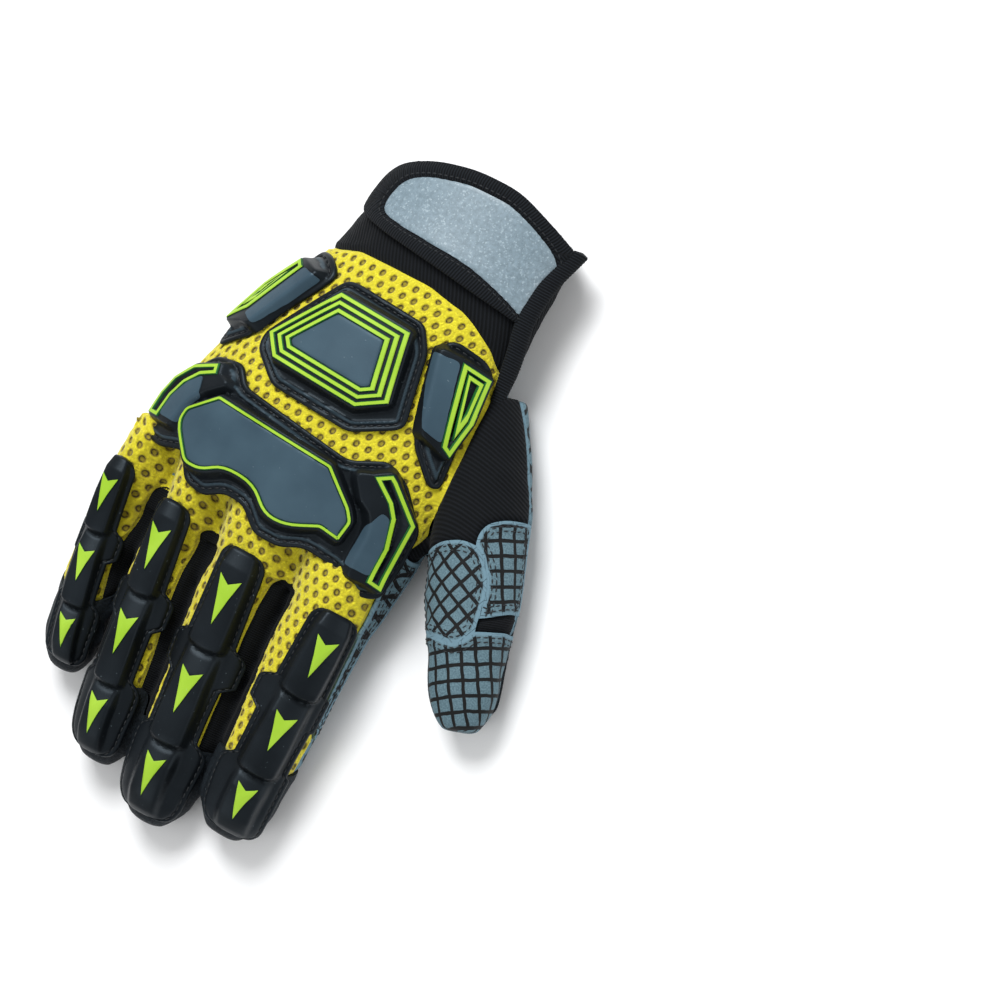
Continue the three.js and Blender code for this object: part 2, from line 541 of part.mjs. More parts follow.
add('wing_line_outer_side', lineRing(sized(OUTER_WING.loop)), LIME_RUBBER);
add('wing_face_thumb_side', face(sized(THUMB_WING.face)), SLATE_RUBBER);
add('wing_face_outer_side', face(sized(OUTER_WING.face)), SLATE_RUBBER);

// Guard on the back of the hand: a five sided block with three outlines, one inside the other
const HAND_GUARD = [[-0.172, -0.272], [-0.135, -0.276], [0.12, -0.268], [0.186, -0.234], [0.273, -0.133],
  [0.26, -0.121], [0.148, -0.088], [-0.141, -0.096], [-0.268, -0.133], [-0.286, -0.156], [-0.266, -0.178]];
const HAND_BLOCK = [[-0.123, -0.254], [0.108, -0.248], [0.190, -0.148], [0.121, -0.123], [-0.165, -0.131],
  [-0.228, -0.160]];
const RING_PITCH = LINE_WIDTH + 0.9;
const handBlock = sized(HAND_BLOCK);
add('hand_guard', seated(flange(sized(HAND_GUARD)).add(block(handBlock))), BLACK_RUBBER);
['outer', 'middle', 'inner'].forEach((name, i) =>
  add(`hand_line_${name}`, lineRing(outset(handBlock, -i * RING_PITCH)), LIME_RUBBER));
add('hand_face', face(outset(handBlock, -3 * RING_PITCH)), SLATE_RUBBER);

// Side guards: a wedge on the thumb side and one that wraps the outer edge of the hand
const THUMB_WEDGE = [[0.200, -0.258], [0.228, -0.268], [0.330, -0.262], [0.368, -0.252], [0.469, -0.078],
  [0.435, -0.072], [0.329, -0.113], [0.296, -0.137]];
const THUMB_WEDGE_LOOP = [[0.268, -0.246], [0.357, -0.242], [0.400, -0.176], [0.408, -0.121],
  [0.372, -0.130]];
const THUMB_WEDGE_INNER = [[0.298, -0.2355], [0.347, -0.233], [0.381, -0.178], [0.385, -0.145]];
const THUMB_WEDGE_CORE = [[0.315, -0.228], [0.339, -0.2265], [0.363, -0.188], [0.366, -0.175]];
const THUMB_WEDGE_FACE = [[0.207, -0.247], [0.250, -0.2465], [0.352, -0.134], [0.316, -0.135]];
const OUTER_WEDGE = [[-0.350, -0.297], [-0.286, -0.293], [-0.227, -0.277], [-0.217, -0.262],
  [-0.240, -0.234], [-0.292, -0.188], [-0.330, -0.143], [-0.433, -0.109], [-0.460, -0.150],
  [-0.430, -0.223]];
const OUTER_WEDGE_LOOP = [[-0.335, -0.272], [-0.300, -0.262], [-0.368, -0.176], [-0.428, -0.150],
  [-0.405, -0.219]];
const OUTER_WEDGE_INNER = [[-0.334, -0.250], [-0.370, -0.194], [-0.400, -0.176], [-0.384, -0.214]];
const OUTER_WEDGE_CORE = [[-0.350, -0.235], [-0.371, -0.203], [-0.385, -0.194], [-0.376, -0.212]];
const OUTER_WEDGE_FACE = [[-0.282, -0.272], [-0.252, -0.262], [-0.330, -0.158], [-0.362, -0.160]];
const wedge = (name, outline, loop, inner, core, plateau) => {
  const blocks = [loop, plateau].map(raised => block(sized(raised)));
  const whole = blocks.reduce((sum, raised) => sum.add(raised), flange(sized(outline)));
  add(`${name}_guard`, seated(whole), BLACK_RUBBER);
  add(`${name}_line_outer`, lineRing(sized(loop)), LIME_RUBBER);
  add(`${name}_line_inner`, plate(sized(inner), inlayLift, sized(core)), LIME_RUBBER);
  add(`${name}_face`, face(sized(plateau)), SLATE_RUBBER);
};
wedge('thumb_wedge', THUMB_WEDGE, THUMB_WEDGE_LOOP, THUMB_WEDGE_INNER, THUMB_WEDGE_CORE, THUMB_WEDGE_FACE);
wedge('outer_wedge', OUTER_WEDGE, OUTER_WEDGE_LOOP, OUTER_WEDGE_INNER, OUTER_WEDGE_CORE, OUTER_WEDGE_FACE);

// Finger guards: three overlapping plates with a crest; along in shares of the guard's own length,
// flange and crest in shares of the finger's width, height in shares of the crest height
const GUARD_PROFILE = table('along flange crest height', [
  [0.00, 0.22, 0.15, 0.50],
  [0.10, 0.25, 0.18, 0.86],
  [0.34, 0.26, 0.19, 1.00],
  [0.375, 0.32, 0.19, 0.95],
  [0.38, 0.33, 0.18, 0.66],
  [0.45, 0.30, 0.18, 0.84],
  [0.70, 0.27, 0.19, 1.00],
  [0.735, 0.32, 0.19, 0.95],
  [0.74, 0.33, 0.18, 0.66],
  [0.80, 0.33, 0.18, 0.80],
  [0.95, 0.30, 0.17, 0.78],
  [1.00, 0.26, 0.13, 0.42]]);
// Where each guard lies: start and end in shares of the glove length, lean of its crest round the finger
// at start and end in shares of the finger's width
const FINGER_GUARDS = table('name start end startLean endLean', [
  ['index', 0.137, 0.474, 0.26, 0.14],
  ['middle', 0.122, 0.511, 0.08, 0.03],
  ['ring', 0.108, 0.473, 0.03, 0.02],
  ['little', 0.089, 0.384, -0.06, 0.12]]);
// Arrow inlays: start and length in shares of the guard's length, half width in shares of the finger's width
const ARROWS = table('name start length half', [
  ['root', 0.105, 0.180, 0.108], ['joint', 0.455, 0.170, 0.108], ['tip', 0.785, 0.155, 0.102]]);
const ARROW_NOTCH = 0.16;
FINGERS.forEach((finger, i) => {
  const guard = FINGER_GUARDS[i];
  const [start, end] = [guard.start * GLOVE_LENGTH, guard.end * GLOVE_LENGTH];
  const width = finger.rootWidth * HAND_WIDTH;
  const placeAt = share => start + (end - start) * share;
  const lean = share => (guard.startLean + (guard.endLean - guard.startLean) * share) * width;
  const onFinger = ([across, along, lift]) => {
    const share = (along - start) / (end - start);
    const [x, z] = aroundSection(fingerSection(finger, along), across + lean(share), lift);
    return [x, -along, z];
  };
  const crestAt = share => SEAT + rowAt(GUARD_PROFILE, share).height * FINGER_GUARD_HEIGHT;
  const rings = GUARD_PROFILE.map(row => {
    const [edge, crest] = [row.flange * width, row.crest * width];
    const high = SEAT + row.height * FINGER_GUARD_HEIGHT;
    const foot = Math.min(crest + CREST_SLOPE, (crest + edge) / 2);
    const half = [[edge, SEAT], [edge, flangeTop], [foot, flangeTop], [crest * 0.85, high - CROWN]];
    const left = half.map(([across, lift]) => [-across, lift]).reverse();
    const under = [-0.6, 0, 0.6].map(share => [share * edge, SEAT]);
    return [...half, [0, high], ...left, ...under].map(
      ([across, lift]) => onFinger([across, placeAt(row.along), lift]));
  });
  add(`finger_guard_${finger.name}`, seated(solid(loft(rings))), BLACK_RUBBER);
  for (const arrow of ARROWS) {
    const half = arrow.half * finger.tipWidth * HAND_WIDTH;
    const [tail, point] = [placeAt(arrow.start), placeAt(arrow.start + arrow.length)];
    const notch = tail + (point - tail) * ARROW_NOTCH;
    const outline = [[half, tail], [0, notch], [-half, tail], [0, point]];
    const place = ([across, along, lift]) =>
      onFinger([across, along, lift + crestAt((along - start) / (end - start))]);
    const layers = [{ inset: 0, lift: INLAY_SEAT }, { inset: 0, lift: INLAY_SEAT + INLAY_THICKNESS }];
    const inlay = plate(outline, layers, null, () => STEP.curved, place);
    add(`arrow_${finger.name}_${arrow.name}`, inlay, LIME_RUBBER);
  }
});

// Closing strap over the back of the cuff, with a bound rim and a reflective face
const STRAP = [[-0.300, -0.368], [-0.318, -0.395], [-0.306, -0.424], [-0.262, -0.445], [-0.155, -0.466],
  [-0.02, -0.480], [0.12, -0.480], [0.325, -0.449], [0.302, -0.42], [0.285, -0.39], [0.292, -0.335],
  [0.05, -0.346], [-0.18, -0.356]];
const STRAP_PANEL = [[-0.222, -0.378], [-0.236, -0.402], [-0.218, -0.43], [-0.151, -0.446], [-0.02, -0.461],
  [0.112, -0.463], [0.27, -0.438], [0.29, -0.42], [0.273, -0.39], [0.277, -0.343], [0.11, -0.368],
  [-0.13, -0.371]];
const strapTop = SEAT + STRAP_THICKNESS;
const strapLayers = [{ inset: 0, lift: SEAT }, { inset: 0, lift: strapTop }];
add('strap', seated(plate(sized(STRAP), strapLayers)), BLACK_KNIT);
const onStrap = strapTop + STRAP_SEAT;
const rimLayers = [{ inset: 0, lift: onStrap }, { inset: RIM_ROUND, lift: strapTop + RIM_HEIGHT }];
add('strap_rim', plate(sized(STRAP), rimLayers, sized(STRAP_PANEL)), BLACK_KNIT);
add('strap_panel', plate(outset(sized(STRAP_PANEL), -PANEL_CLEARANCE), [
  { inset: 0, lift: onStrap }, { inset: 0, lift: onStrap + INLAY_THICKNESS }]), REFLECTIVE);

// Rolled binding of the slit beside the strap
const SLIT = [[0.362, -0.455], [0.338, -0.42], [0.325, -0.39], [0.332, -0.332], [0.390, -0.273],
  [0.420, -0.234], [0.432, -0.215]];
const slit = sized(SLIT);
const beside = side => slit.map(([across, along]) => [across + side * BINDING_WIDTH / 2, along]);
const bindingLayers = [{ inset: 0, lift: SEAT }, { inset: 0, lift: BINDING_HEIGHT * 0.6 },
  { inset: BINDING_ROUND, lift: BINDING_HEIGHT }];
const binding = [...beside(1), ...beside(-1).reverse()];
add('slit_binding', seated(plate(binding, bindingLayers, null, () => STEP.curved)), BLACK_KNIT);

// The origin is under the middle of the glove, on the plane that it rests on
const bounds = new THREE.Box3().setFromObject(glove);
const middle = bounds.getCenter(new THREE.Vector3());
glove.position.set(-middle.x, -middle.y, -bounds.min.z);

export default glove;
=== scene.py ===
import math

import bpy
import numpy as np
from mathutils import Matrix, Vector
from mathutils.bvhtree import BVHTree


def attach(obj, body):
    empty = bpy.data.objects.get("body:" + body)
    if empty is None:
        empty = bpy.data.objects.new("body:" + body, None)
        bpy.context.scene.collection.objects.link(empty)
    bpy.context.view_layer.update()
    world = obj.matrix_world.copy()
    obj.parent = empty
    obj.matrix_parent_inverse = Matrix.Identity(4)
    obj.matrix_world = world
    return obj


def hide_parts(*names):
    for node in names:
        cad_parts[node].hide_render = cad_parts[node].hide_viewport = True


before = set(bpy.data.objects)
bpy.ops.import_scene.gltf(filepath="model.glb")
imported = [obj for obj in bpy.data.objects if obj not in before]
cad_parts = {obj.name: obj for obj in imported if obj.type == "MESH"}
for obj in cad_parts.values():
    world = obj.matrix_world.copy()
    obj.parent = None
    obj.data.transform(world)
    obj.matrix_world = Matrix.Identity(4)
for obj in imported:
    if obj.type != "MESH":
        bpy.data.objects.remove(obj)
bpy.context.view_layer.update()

# Lengths in this script are millimetres on the hand's own axes: across to the thumb side, along to the
# fingertips and up from the resting plane. They become metres in the row's frame when a mesh is written.
MM = 0.001
GLOVE_LENGTH = 256
HAND_WIDTH = 118
HAND_HEIGHT = 38
THUMB_LENGTH = 118
THUMB_WIDTH = 36
THUMB_TURN = math.radians(23)
FLOOR = 1.6                                  # the cloth rests on its grip pads
ORIGIN = np.array([21.926, -4.480, 0.0])     # the row's origin on the hand's axes
SEAT = 0.6                                   # underside of a guard above the cloth
FLANGE = 2.0                                 # top of a guard's sewn flange
PLATEAU = 6.0                                # top of a block on a hand guard
CREST = 5.4                                  # height of a finger guard


def table(columns, rows):
    values = np.array(rows, float)
    return {name: values[:, i] for i, name in enumerate(columns.split())}


def read(rows, column, along, soften):
    """A table's column at any place along it, with its corners rounded."""
    near = [np.interp(along + k * soften, rows["along"], rows[column]) for k in (-1.5, -0.5, 0.5, 1.5)]
    return sum(near) / len(near)


SEAM = table("along height", [
    [-0.60, 0.42], [-0.31, 0.42], [-0.235, 0.395], [-0.155, 0.37], [-0.08, 0.345], [0, 0.33],
    [0.14, 0.33], [0.235, 0.315], [0.35, 0.29], [0.47, 0.265], [0.60, 0.265]])
HAND = table("along middle half top base", [
    [-0.49, 0.187, 0.327, 0.89, 0.00],
    [-0.39, 0.164, 0.332, 0.89, 0.00],
    [-0.31, 0.142, 0.355, 0.92, 0.00],
    [-0.235, 0.106, 0.397, 0.97, -0.03],
    [-0.155, 0.071, 0.447, 1.00, -0.05],
    [-0.08, 0.040, 0.475, 1.00, -0.03],
    [0.00, 0.018, 0.497, 0.97, 0.00],
    [0.08, -0.007, 0.502, 0.90, 0.05],
    [0.137, -0.016, 0.497, 0.76, 0.10]])
FINGERS = {
    "index": dict(root=0.329, tip=0.339, bow=0, reach=0.486, wide=0.296, narrow=0.243, height=1),
    "middle": dict(root=0.014, tip=0.097, bow=0, reach=0.523, wide=0.290, narrow=0.252, height=1),
    "ring": dict(root=-0.246, tip=-0.146, bow=-0.006, reach=0.485, wide=0.230, narrow=0.218, height=1),
    "little": dict(root=-0.437, tip=-0.387, bow=-0.021, reach=0.397, wide=0.188, narrow=0.183, height=0.93)}
FINGER_START = 0.02
FINGER_PROFILE = table("along width top base", [
    [0.00, 0.80, 0.87, 0.08],
    [0.25, 1.00, 0.77, 0.09],
    [0.46, 1.00, 0.70, 0.08],
    [0.77, 1.00, 0.605, 0.04],
    [0.885, 0.99, 0.565, 0.00],
    [0.955, 0.80, 0.50, 0.02],
    [1.00, 0.36, 0.38, 0.11]])
THUMB_START = (0.48, -0.223)
THUMB_SEAM = 0.37
THUMB_PROFILE = table("along width top base", [
    [0.00, 0.59, 0.62, 0.00],
    [0.15, 0.82, 0.68, 0.00],
    [0.34, 1.00, 0.73, 0.00],
    [0.63, 0.95, 0.69, 0.03],
    [0.75, 0.80, 0.66, 0.03],
    [0.89, 0.69, 0.60, 0.02],
    [0.96, 0.56, 0.54, 0.06],
    [1.00, 0.32, 0.45, 0.15]])


def seam_at(along):
    return read(SEAM, "height", along / GLOVE_LENGTH, 0.012) * HAND_HEIGHT


def hand_section(along):
    get = lambda column: read(HAND, column, along / GLOVE_LENGTH, 0.012)
    return (get("middle") * HAND_WIDTH, get("half") * HAND_WIDTH, seam_at(along),
            get("top") * HAND_HEIGHT, get("base") * HAND_HEIGHT)


def finger_section(finger):
    start, end = FINGER_START * GLOVE_LENGTH, finger["reach"] * GLOVE_LENGTH

    def section(along):
        share = np.clip((along - start) / (end - start), 0, 1)
        get = lambda column: read(FINGER_PROFILE, column, share, 0.015)
        width = finger["wide"] + (finger["narrow"] - finger["wide"]) * share
        middle = finger["root"] + (finger["tip"] - finger["root"]) * share
        middle = middle + finger["bow"] * 4 * share * (1 - share)
        return (middle * HAND_WIDTH, get("width") * width * HAND_WIDTH / 2, seam_at(along),
                get("top") * finger["height"] * HAND_HEIGHT, get("base") * HAND_HEIGHT)
    return section


def thumb_section(along):
    get = lambda column: read(THUMB_PROFILE, column, along / THUMB_LENGTH, 0.015)
    return (0.0 * along, get("width") * THUMB_WIDTH / 2, THUMB_SEAM * HAND_HEIGHT + 0.0 * along,
            get("top") * HAND_HEIGHT, get("base") * HAND_HEIGHT)


def from_thumb(points):
    across, along, up = points.T
    return np.stack([
        THUMB_START[0] * HAND_WIDTH + across * math.cos(THUMB_TURN) + along * math.sin(THUMB_TURN),
        THUMB_START[1] * GLOVE_LENGTH + along * math.cos(THUMB_TURN) - across * math.sin(THUMB_TURN), up], 1)


def to_thumb(points):
    x = points[:, 0] - THUMB_START[0] * HAND_WIDTH
    y = points[:, 1] - THUMB_START[1] * GLOVE_LENGTH
    return np.stack([x * math.cos(THUMB_TURN) - y * math.sin(THUMB_TURN),
                     x * math.sin(THUMB_TURN) + y * math.cos(THUMB_TURN), points[:, 2]], 1)


def lookup(grid, rows, columns, row, column):
    """A grid read between its rows and columns, which are evenly spaced."""
    i = np.clip((row - rows[0]) / (rows[1] - rows[0]), 0, len(rows) - 1.001)
    j = np.clip((column - columns[0]) / (columns[1] - columns[0]), 0, len(columns) - 1.001)
    a, b = i.astype(int), j.astype(int)
    p, q = i - a, j - b
    return (grid[a, b] * (1 - p) * (1 - q) + grid[a + 1, b] * p * (1 - q)
            + grid[a, b + 1] * (1 - p) * q + grid[a + 1, b + 1] * p * q)


class Tube:
    """A tube of the glove: its surface by the way round from its crest and the way along it."""

    def __init__(self, section, start, end, turned=False):
        self.section, self.start, self.end, self.turned = section, start, end, turned
        self.stations = np.linspace(start, end, 120)
        self.angles = np.radians(np.linspace(-180, 180, 121))
        self.reach = np.linspace(-85, 85, 341)
        along, angle = np.meshgrid(self.stations, self.angles, indexing="ij")
        x, z = self.around(along, angle, 0)
        steps = np.hypot(np.diff(x, axis=1), np.diff(z, axis=1))
        arcs = np.concatenate([np.zeros((len(along), 1)), np.cumsum(steps, axis=1)], axis=1)
        self.arcs = arcs - arcs[:, [60]]
        self.turns = np.array([np.interp(self.reach, row, self.angles) for row in self.arcs])

    def around(self, along, angle, lift):
        middle, half, seam, top, base = self.section(along)
        rise = np.where(np.cos(angle) >= 0, top - seam, seam - base)
        z = seam + (rise + lift) * np.cos(angle)
        return middle + (half + lift) * np.sin(angle), np.maximum(z, FLOOR - lift)

    def place(self, points):
        """Points drawn flat, as the way round, the way along and the lift, laid on the tube."""
        way, along, lift = points.T
        angle = lookup(self.turns, self.stations, self.reach, along, way)
        x, z = self.around(along, angle, lift)
        laid = np.stack([x, along, z], 1)
        return from_thumb(laid) if self.turned else laid

    def flatten(self, points):
        """The way round and along of points near the surface."""
        x, along, z = (to_thumb(points) if self.turned else points).T
        middle, half, seam, top, base = self.section(along)
        rise = np.where(z >= seam, top - seam, seam - base)
        angle = np.arctan2((x - middle) / half, (z - seam) / rise)
        return lookup(self.arcs, self.stations, self.angles, along, angle), along


HAND_TUBE = Tube(hand_section, -0.492 * GLOVE_LENGTH, 0.137 * GLOVE_LENGTH)
FINGER_TUBES = {
    name: Tube(finger_section(finger), FINGER_START * GLOVE_LENGTH, finger["reach"] * GLOVE_LENGTH)
    for name, finger in FINGERS.items()}
THUMB_TUBE = Tube(thumb_section, 0, THUMB_LENGTH, turned=True)


# Meshes and numbers
def only(*pieces):
    bpy.ops.object.select_all(action="DESELECT")
    for piece in pieces:
        piece.select_set(True)
    bpy.context.view_layer.objects.active = pieces[0]


def points_of(piece):
    """A mesh's points in millimetres on the hand's axes."""
    flat = np.empty(len(piece.data.vertices) * 3)
    piece.data.vertices.foreach_get("co", flat)
    points = flat.reshape(-1, 3) / MM + ORIGIN
    return points * (1, -1, 1)


def move_points(piece, points):
    flat = (points * (1, -1, 1) - ORIGIN) * MM
    piece.data.vertices.foreach_set("co", flat.ravel())
    piece.data.update()


def normals_of(piece):
    flat = np.empty(len(piece.data.vertices) * 3)
    piece.data.vertex_normals.foreach_get("vector", flat)
    return flat.reshape(-1, 3) * (1, -1, 1)


def edges_of(piece):
    flat = np.empty(len(piece.data.edges) * 2, int)
    piece.data.edges.foreach_get("vertices", flat)
    return flat.reshape(-1, 2)


def faces_of(piece, what):
    """One vector for each face of a mesh: its center or its normal, as Blender names them."""
    flat = np.empty(len(piece.data.polygons) * 3)
    piece.data.polygons.foreach_get(what, flat)
    return flat.reshape(-1, 3)


def rim_of(piece):
    """The edges that only one face has."""
    edge = np.empty(len(piece.data.loops), int)
    piece.data.loops.foreach_get("edge_index", edge)
    pairs = edges_of(piece)
    return pairs[np.bincount(edge, minlength=len(pairs)) == 1]


def neighbour_sums(points, pairs):
    """The sum of each point's neighbours along the given edges."""
    total = np.zeros_like(points)
    np.add.at(total, pairs[:, 0], points[pairs[:, 1]])
    np.add.at(total, pairs[:, 1], points[pairs[:, 0]])
    return total


def copied(piece):
    """A copy of a piece with a mesh of its own."""
    twin = piece.copy()
    twin.data = piece.data.copy()
    bpy.context.collection.objects.link(twin)
    return twin


def in_edit(piece, *steps):
    """Runs edit mode operators on the whole of one mesh."""
    only(piece)
    bpy.ops.object.mode_set(mode="EDIT")
    bpy.ops.mesh.select_all(action="SELECT")
    for step in steps:
        step()
    bpy.ops.object.mode_set(mode="OBJECT")


def outward():
    bpy.ops.mesh.select_all(action="SELECT")
    bpy.ops.mesh.normals_make_consistent(inside=False)


def sheet_of(name, loops, closed=True):
    """A grid shaped to rows of points: closed round each row, or open."""
    rows, count = loops.shape[:2]
    bpy.ops.object.select_all(action="DESELECT")
    bpy.ops.mesh.primitive_grid_add(x_subdivisions=count if closed else count - 1,
                                    y_subdivisions=rows - 1, size=2)
    piece = bpy.context.object
    piece.name = name
    flat = np.empty(len(piece.data.vertices) * 3)
    piece.data.vertices.foreach_get("co", flat)
    x, y, _ = flat.reshape(-1, 3).T
    row = np.rint((y + 1) / 2 * (rows - 1)).astype(int)
    column = np.rint((x + 1) / 2 * (count if closed else count - 1)).astype(int) % count
    move_points(piece, loops[row, column])
    return piece


def solid_of(name, loops):
    """A closed solid through loops of points, with flat ends."""
    piece = sheet_of(name, loops)
    in_edit(piece, lambda: bpy.ops.mesh.remove_doubles(threshold=1e-7),
            lambda: bpy.ops.mesh.fill_holes(sides=0), outward)
    return piece


def ring_of(name, loops):
    """A closed ring through loops of points, the last joined to the first."""
    piece = sheet_of(name, np.concatenate([loops, loops[:1]]))
    in_edit(piece, lambda: bpy.ops.mesh.remove_doubles(threshold=1e-7), outward)
    return piece


def modified(piece, kind, **settings):
    only(piece)
    modifier = piece.modifiers.new(kind, kind)
    for name, value in settings.items():
        setattr(modifier, name, value)
    bpy.ops.object.modifier_apply(modifier=modifier.name)


def fused(pieces, cell, smoothing):
    """Solids melted into one, with rounded edges."""
    only(*pieces)
    if len(pieces) > 1:
        bpy.ops.object.join()
    pieces[0].data.remesh_voxel_size = cell * MM
    bpy.ops.object.voxel_remesh()
    if smoothing:
        modified(pieces[0], "SMOOTH", factor=0.5, iterations=smoothing)
    return pieces[0]


def smooth_shaded(piece, angle=40):
    only(piece)
    bpy.ops.object.shade_smooth_by_angle(angle=math.radians(angle))


# Flat outlines: across in shares of the hand's width, along in shares of the glove's length
def sized(outline):
    return np.array(outline, float) * (HAND_WIDTH, GLOVE_LENGTH)


def area_of(outline):
    x, y = outline.T
    return (x * np.roll(y, -1) - np.roll(x, -1) * y).sum() / 2


def outset(outline, distance):
    before, after = outline - np.roll(outline, 1, 0), np.roll(outline, -1, 0) - outline
    before /= np.linalg.norm(before, axis=1)[:, None]
    after /= np.linalg.norm(after, axis=1)[:, None]
    normal = np.stack([before[:, 1] + after[:, 1], -before[:, 0] - after[:, 0]], 1)
    normal /= np.linalg.norm(normal, axis=1)[:, None]
    along_edge = normal[:, 0] * before[:, 1] - normal[:, 1] * before[:, 0]
    side = 1 if area_of(outline) > 0 else -1
    return outline + normal * (side * distance / np.maximum(along_edge, 0.4))[:, None]


def rounded(outline, radius, steps=4):
    """Each corner replaced by a short curve, with one radius for all or one for each."""
    curve = []
    radii = np.zeros(len(outline)) + radius
    for before, corner, after, size in zip(np.roll(outline, 1, 0), outline, np.roll(outline, -1, 0), radii):
        a, b = before - corner, after - corner
        la, lb = np.linalg.norm(a), np.linalg.norm(b)
        a, b = a / la * min(size, la * 0.45), b / lb * min(size, lb * 0.45)
        for t in np.linspace(0, 1, steps + 1):
            curve.append(corner + a * (1 - t) ** 2 + b * t ** 2)
    return np.array(curve)


def divided(outline, step):
    """The outline with points added on its long edges, and for each the edge and share it came from."""
    spots = []
    for i, (a, b) in enumerate(zip(outline, np.roll(outline, -1, 0))):
        count = max(1, int(np.ceil(np.linalg.norm(b - a) / step)))
        spots += [(i, k / count) for k in range(count)]
    index = np.array([i for i, _ in spots])
    share = np.array([k for _, k in spots])[:, None]

    def apply(other):
        return other[index] * (1 - share) + np.roll(other, -1, 0)[index] * share
    return apply


def distance_to(points, outline):
    """How far points lie from an outline, whichever side they are on."""
    best = np.full(len(points), 1e9)
    for a, b in zip(outline, np.roll(outline, -1, 0)):
        edge = b - a
        share = np.clip(((points - a) @ edge) / (edge @ edge + 1e-12), 0, 1)
        best = np.minimum(best, np.linalg.norm(points - a - share[:, None] * edge, axis=1))
    return best


def inside(points, outline):
    x, y = points.T
    result = np.zeros(len(points), bool)
    for (x0, y0), (x1, y1) in zip(outline, np.roll(outline, -1, 0)):
        crosses = (y0 > y) != (y1 > y)
        result ^= crosses & (x < (x1 - x0) * (y - y0) / (y1 - y0 + 1e-12) + x0)
    return result


def step_up(low, high, value):
    share = np.clip((value - low) / (high - low), 0, 1)
    return share * share * (3 - 2 * share)


def layered(name, outline, layers):
    """A flat solid through copies of an outline, each grown by a distance and lifted to a height."""
    loops = [np.column_stack([outset(outline, grow), np.full(len(outline), lift)]) for grow, lift in layers]
    return solid_of(name, np.array(loops))


def laid(piece, tube):
    """A flat piece laid on a tube of the glove."""
    move_points(piece, tube.place(points_of(piece)))
    in_edit(piece, outward)
    return piece


# Colours and materials
def linear(code):
    channels = [int(code[i:i + 2], 16) / 255 for i in (1, 3, 5)]
    return [c / 12.92 if c <= 0.04045 else ((c + 0.055) / 1.055) ** 2.4 for c in channels] + [1]


def node(tree, kind, inputs=(), **settings):
    """Adds a node with its settings, its input values and its links."""
    made = tree.nodes.new("ShaderNode" + kind)
    for name, value in settings.items():
        setattr(made, name, value)
    for name, value in dict(inputs).items():
        if isinstance(value, bpy.types.NodeSocket):
            tree.links.new(value, made.inputs[name])
        else:
            made.inputs[name].default_value = value
    return made


def new_material(name, rough, coat=0.0, sheen=0.0, specular=0.5, tint="#FFFFFF"):
    made = bpy.data.materials.new(name)
    made.use_nodes = True
    shader = made.node_tree.nodes["Principled BSDF"]
    shader.inputs["Specular Tint"].default_value = linear(tint)
    shader.inputs["Roughness"].default_value = rough
    shader.inputs["Coat Weight"].default_value = coat
    shader.inputs["Sheen Weight"].default_value = sheen
    shader.inputs["Sheen Roughness"].default_value = 0.5
    shader.inputs["Specular IOR Level"].default_value = specular
    return made, made.node_tree, shader


def on_piece(tree, scale, spin=0.0):
    """Millimetres on the piece's own UV map, turned by an angle and scaled."""
    uv = node(tree, "UVMap", uv_map="cloth")
    turn = node(tree, "Mapping", {"Vector": uv.outputs["UV"], "Rotation": (0, 0, math.radians(spin)),
                                  "Scale": (scale, scale, scale)})
    return turn.outputs["Vector"]


def in_space(tree, scale):
    """Millimetres in the object's own space, scaled."""
    spot = node(tree, "TexCoord")
    turn = node(tree, "Mapping", {"Vector": spot.outputs["Object"], "Scale": (scale / MM,) * 3})
    return turn.outputs["Vector"]


def mixed(tree, share, first, second):
    mix = node(tree, "Mix", {0: share, 6: first, 7: second}, data_type="RGBA")
    return mix.outputs[2]


def bumped(tree, shader, height, distance, strength=1.0, before=None):
    links = {"Height": height, "Distance": distance * MM, "Strength": strength}
    if before:
        links["Normal"] = before.outputs["Normal"]
    bump = node(tree, "Bump", links)
    tree.links.new(bump.outputs["Normal"], shader.inputs["Normal"])
    return bump


def faded(tree, value, low, high, start=0.0, end=1.0):
    return node(tree, "MapRange", {"Value": value, "From Min": low, "From Max": high,
                                   "To Min": start, "To Max": end}).outputs["Result"]


def yellow_spacer_mesh():
    # Warp knitted polyester: matt fluffy yarn round small eyelets. The eyelets are painted darker as painted
    # shade in the pressed holes, darkest round their walls, and the gaps between the yarn loops carry painted
    # shade too
    made, tree, shader = new_material("yellow_spacer_mesh", 0.8, sheen=0.25, specular=0.3)
    eyelet = node(tree, "Attribute", attribute_name="eyelet").outputs["Fac"]
    yarn = node(tree, "TexNoise",
                {"Vector": on_piece(tree, 1.0), "Scale": 1.1, "Detail": 5, "Roughness": 0.65})
    loops = node(tree, "TexVoronoi", {"Vector": on_piece(tree, 1.0), "Scale": 0.85}, feature="F1")
    base = mixed(tree, faded(tree, yarn.outputs["Fac"], 0.35, 0.68), linear("#B0A215"), linear("#EEE52A"))
    # Painted shade in the gaps between the yarn loops: darker away from each loop's middle
    base = mixed(tree, faded(tree, loops.outputs["Distance"], 0.3, 0.75), base, linear("#C9BD1D"))
    # Painted shade in the eyelets: a darker rim, a darkest broken ring round the walls and a less dark bottom
    rim = mixed(tree, faded(tree, eyelet, 0.06, 0.36), base, linear("#8A7A14"))
    eyelet_shade_noise = node(tree, "TexNoise", {"Vector": on_piece(tree, 1.0), "Scale": 0.9, "Detail": 3})
    eyelet_wall_shade = mixed(tree, faded(tree, eyelet_shade_noise.outputs["Fac"], 0.46, 0.6), linear("#352D0C"), linear("#77691A"))
    ring = mixed(tree, faded(tree, eyelet, 0.34, 0.52), rim, eyelet_wall_shade)
    deep = mixed(tree, faded(tree, eyelet, 0.70, 0.96), ring, linear("#94851C"))
    tree.links.new(deep, shader.inputs["Base Color"])
    first = bumped(tree, shader, yarn.outputs["Fac"], 0.7, 0.7)
    bumped(tree, shader, loops.outputs["Distance"], 0.4, 0.6, first)
    return made


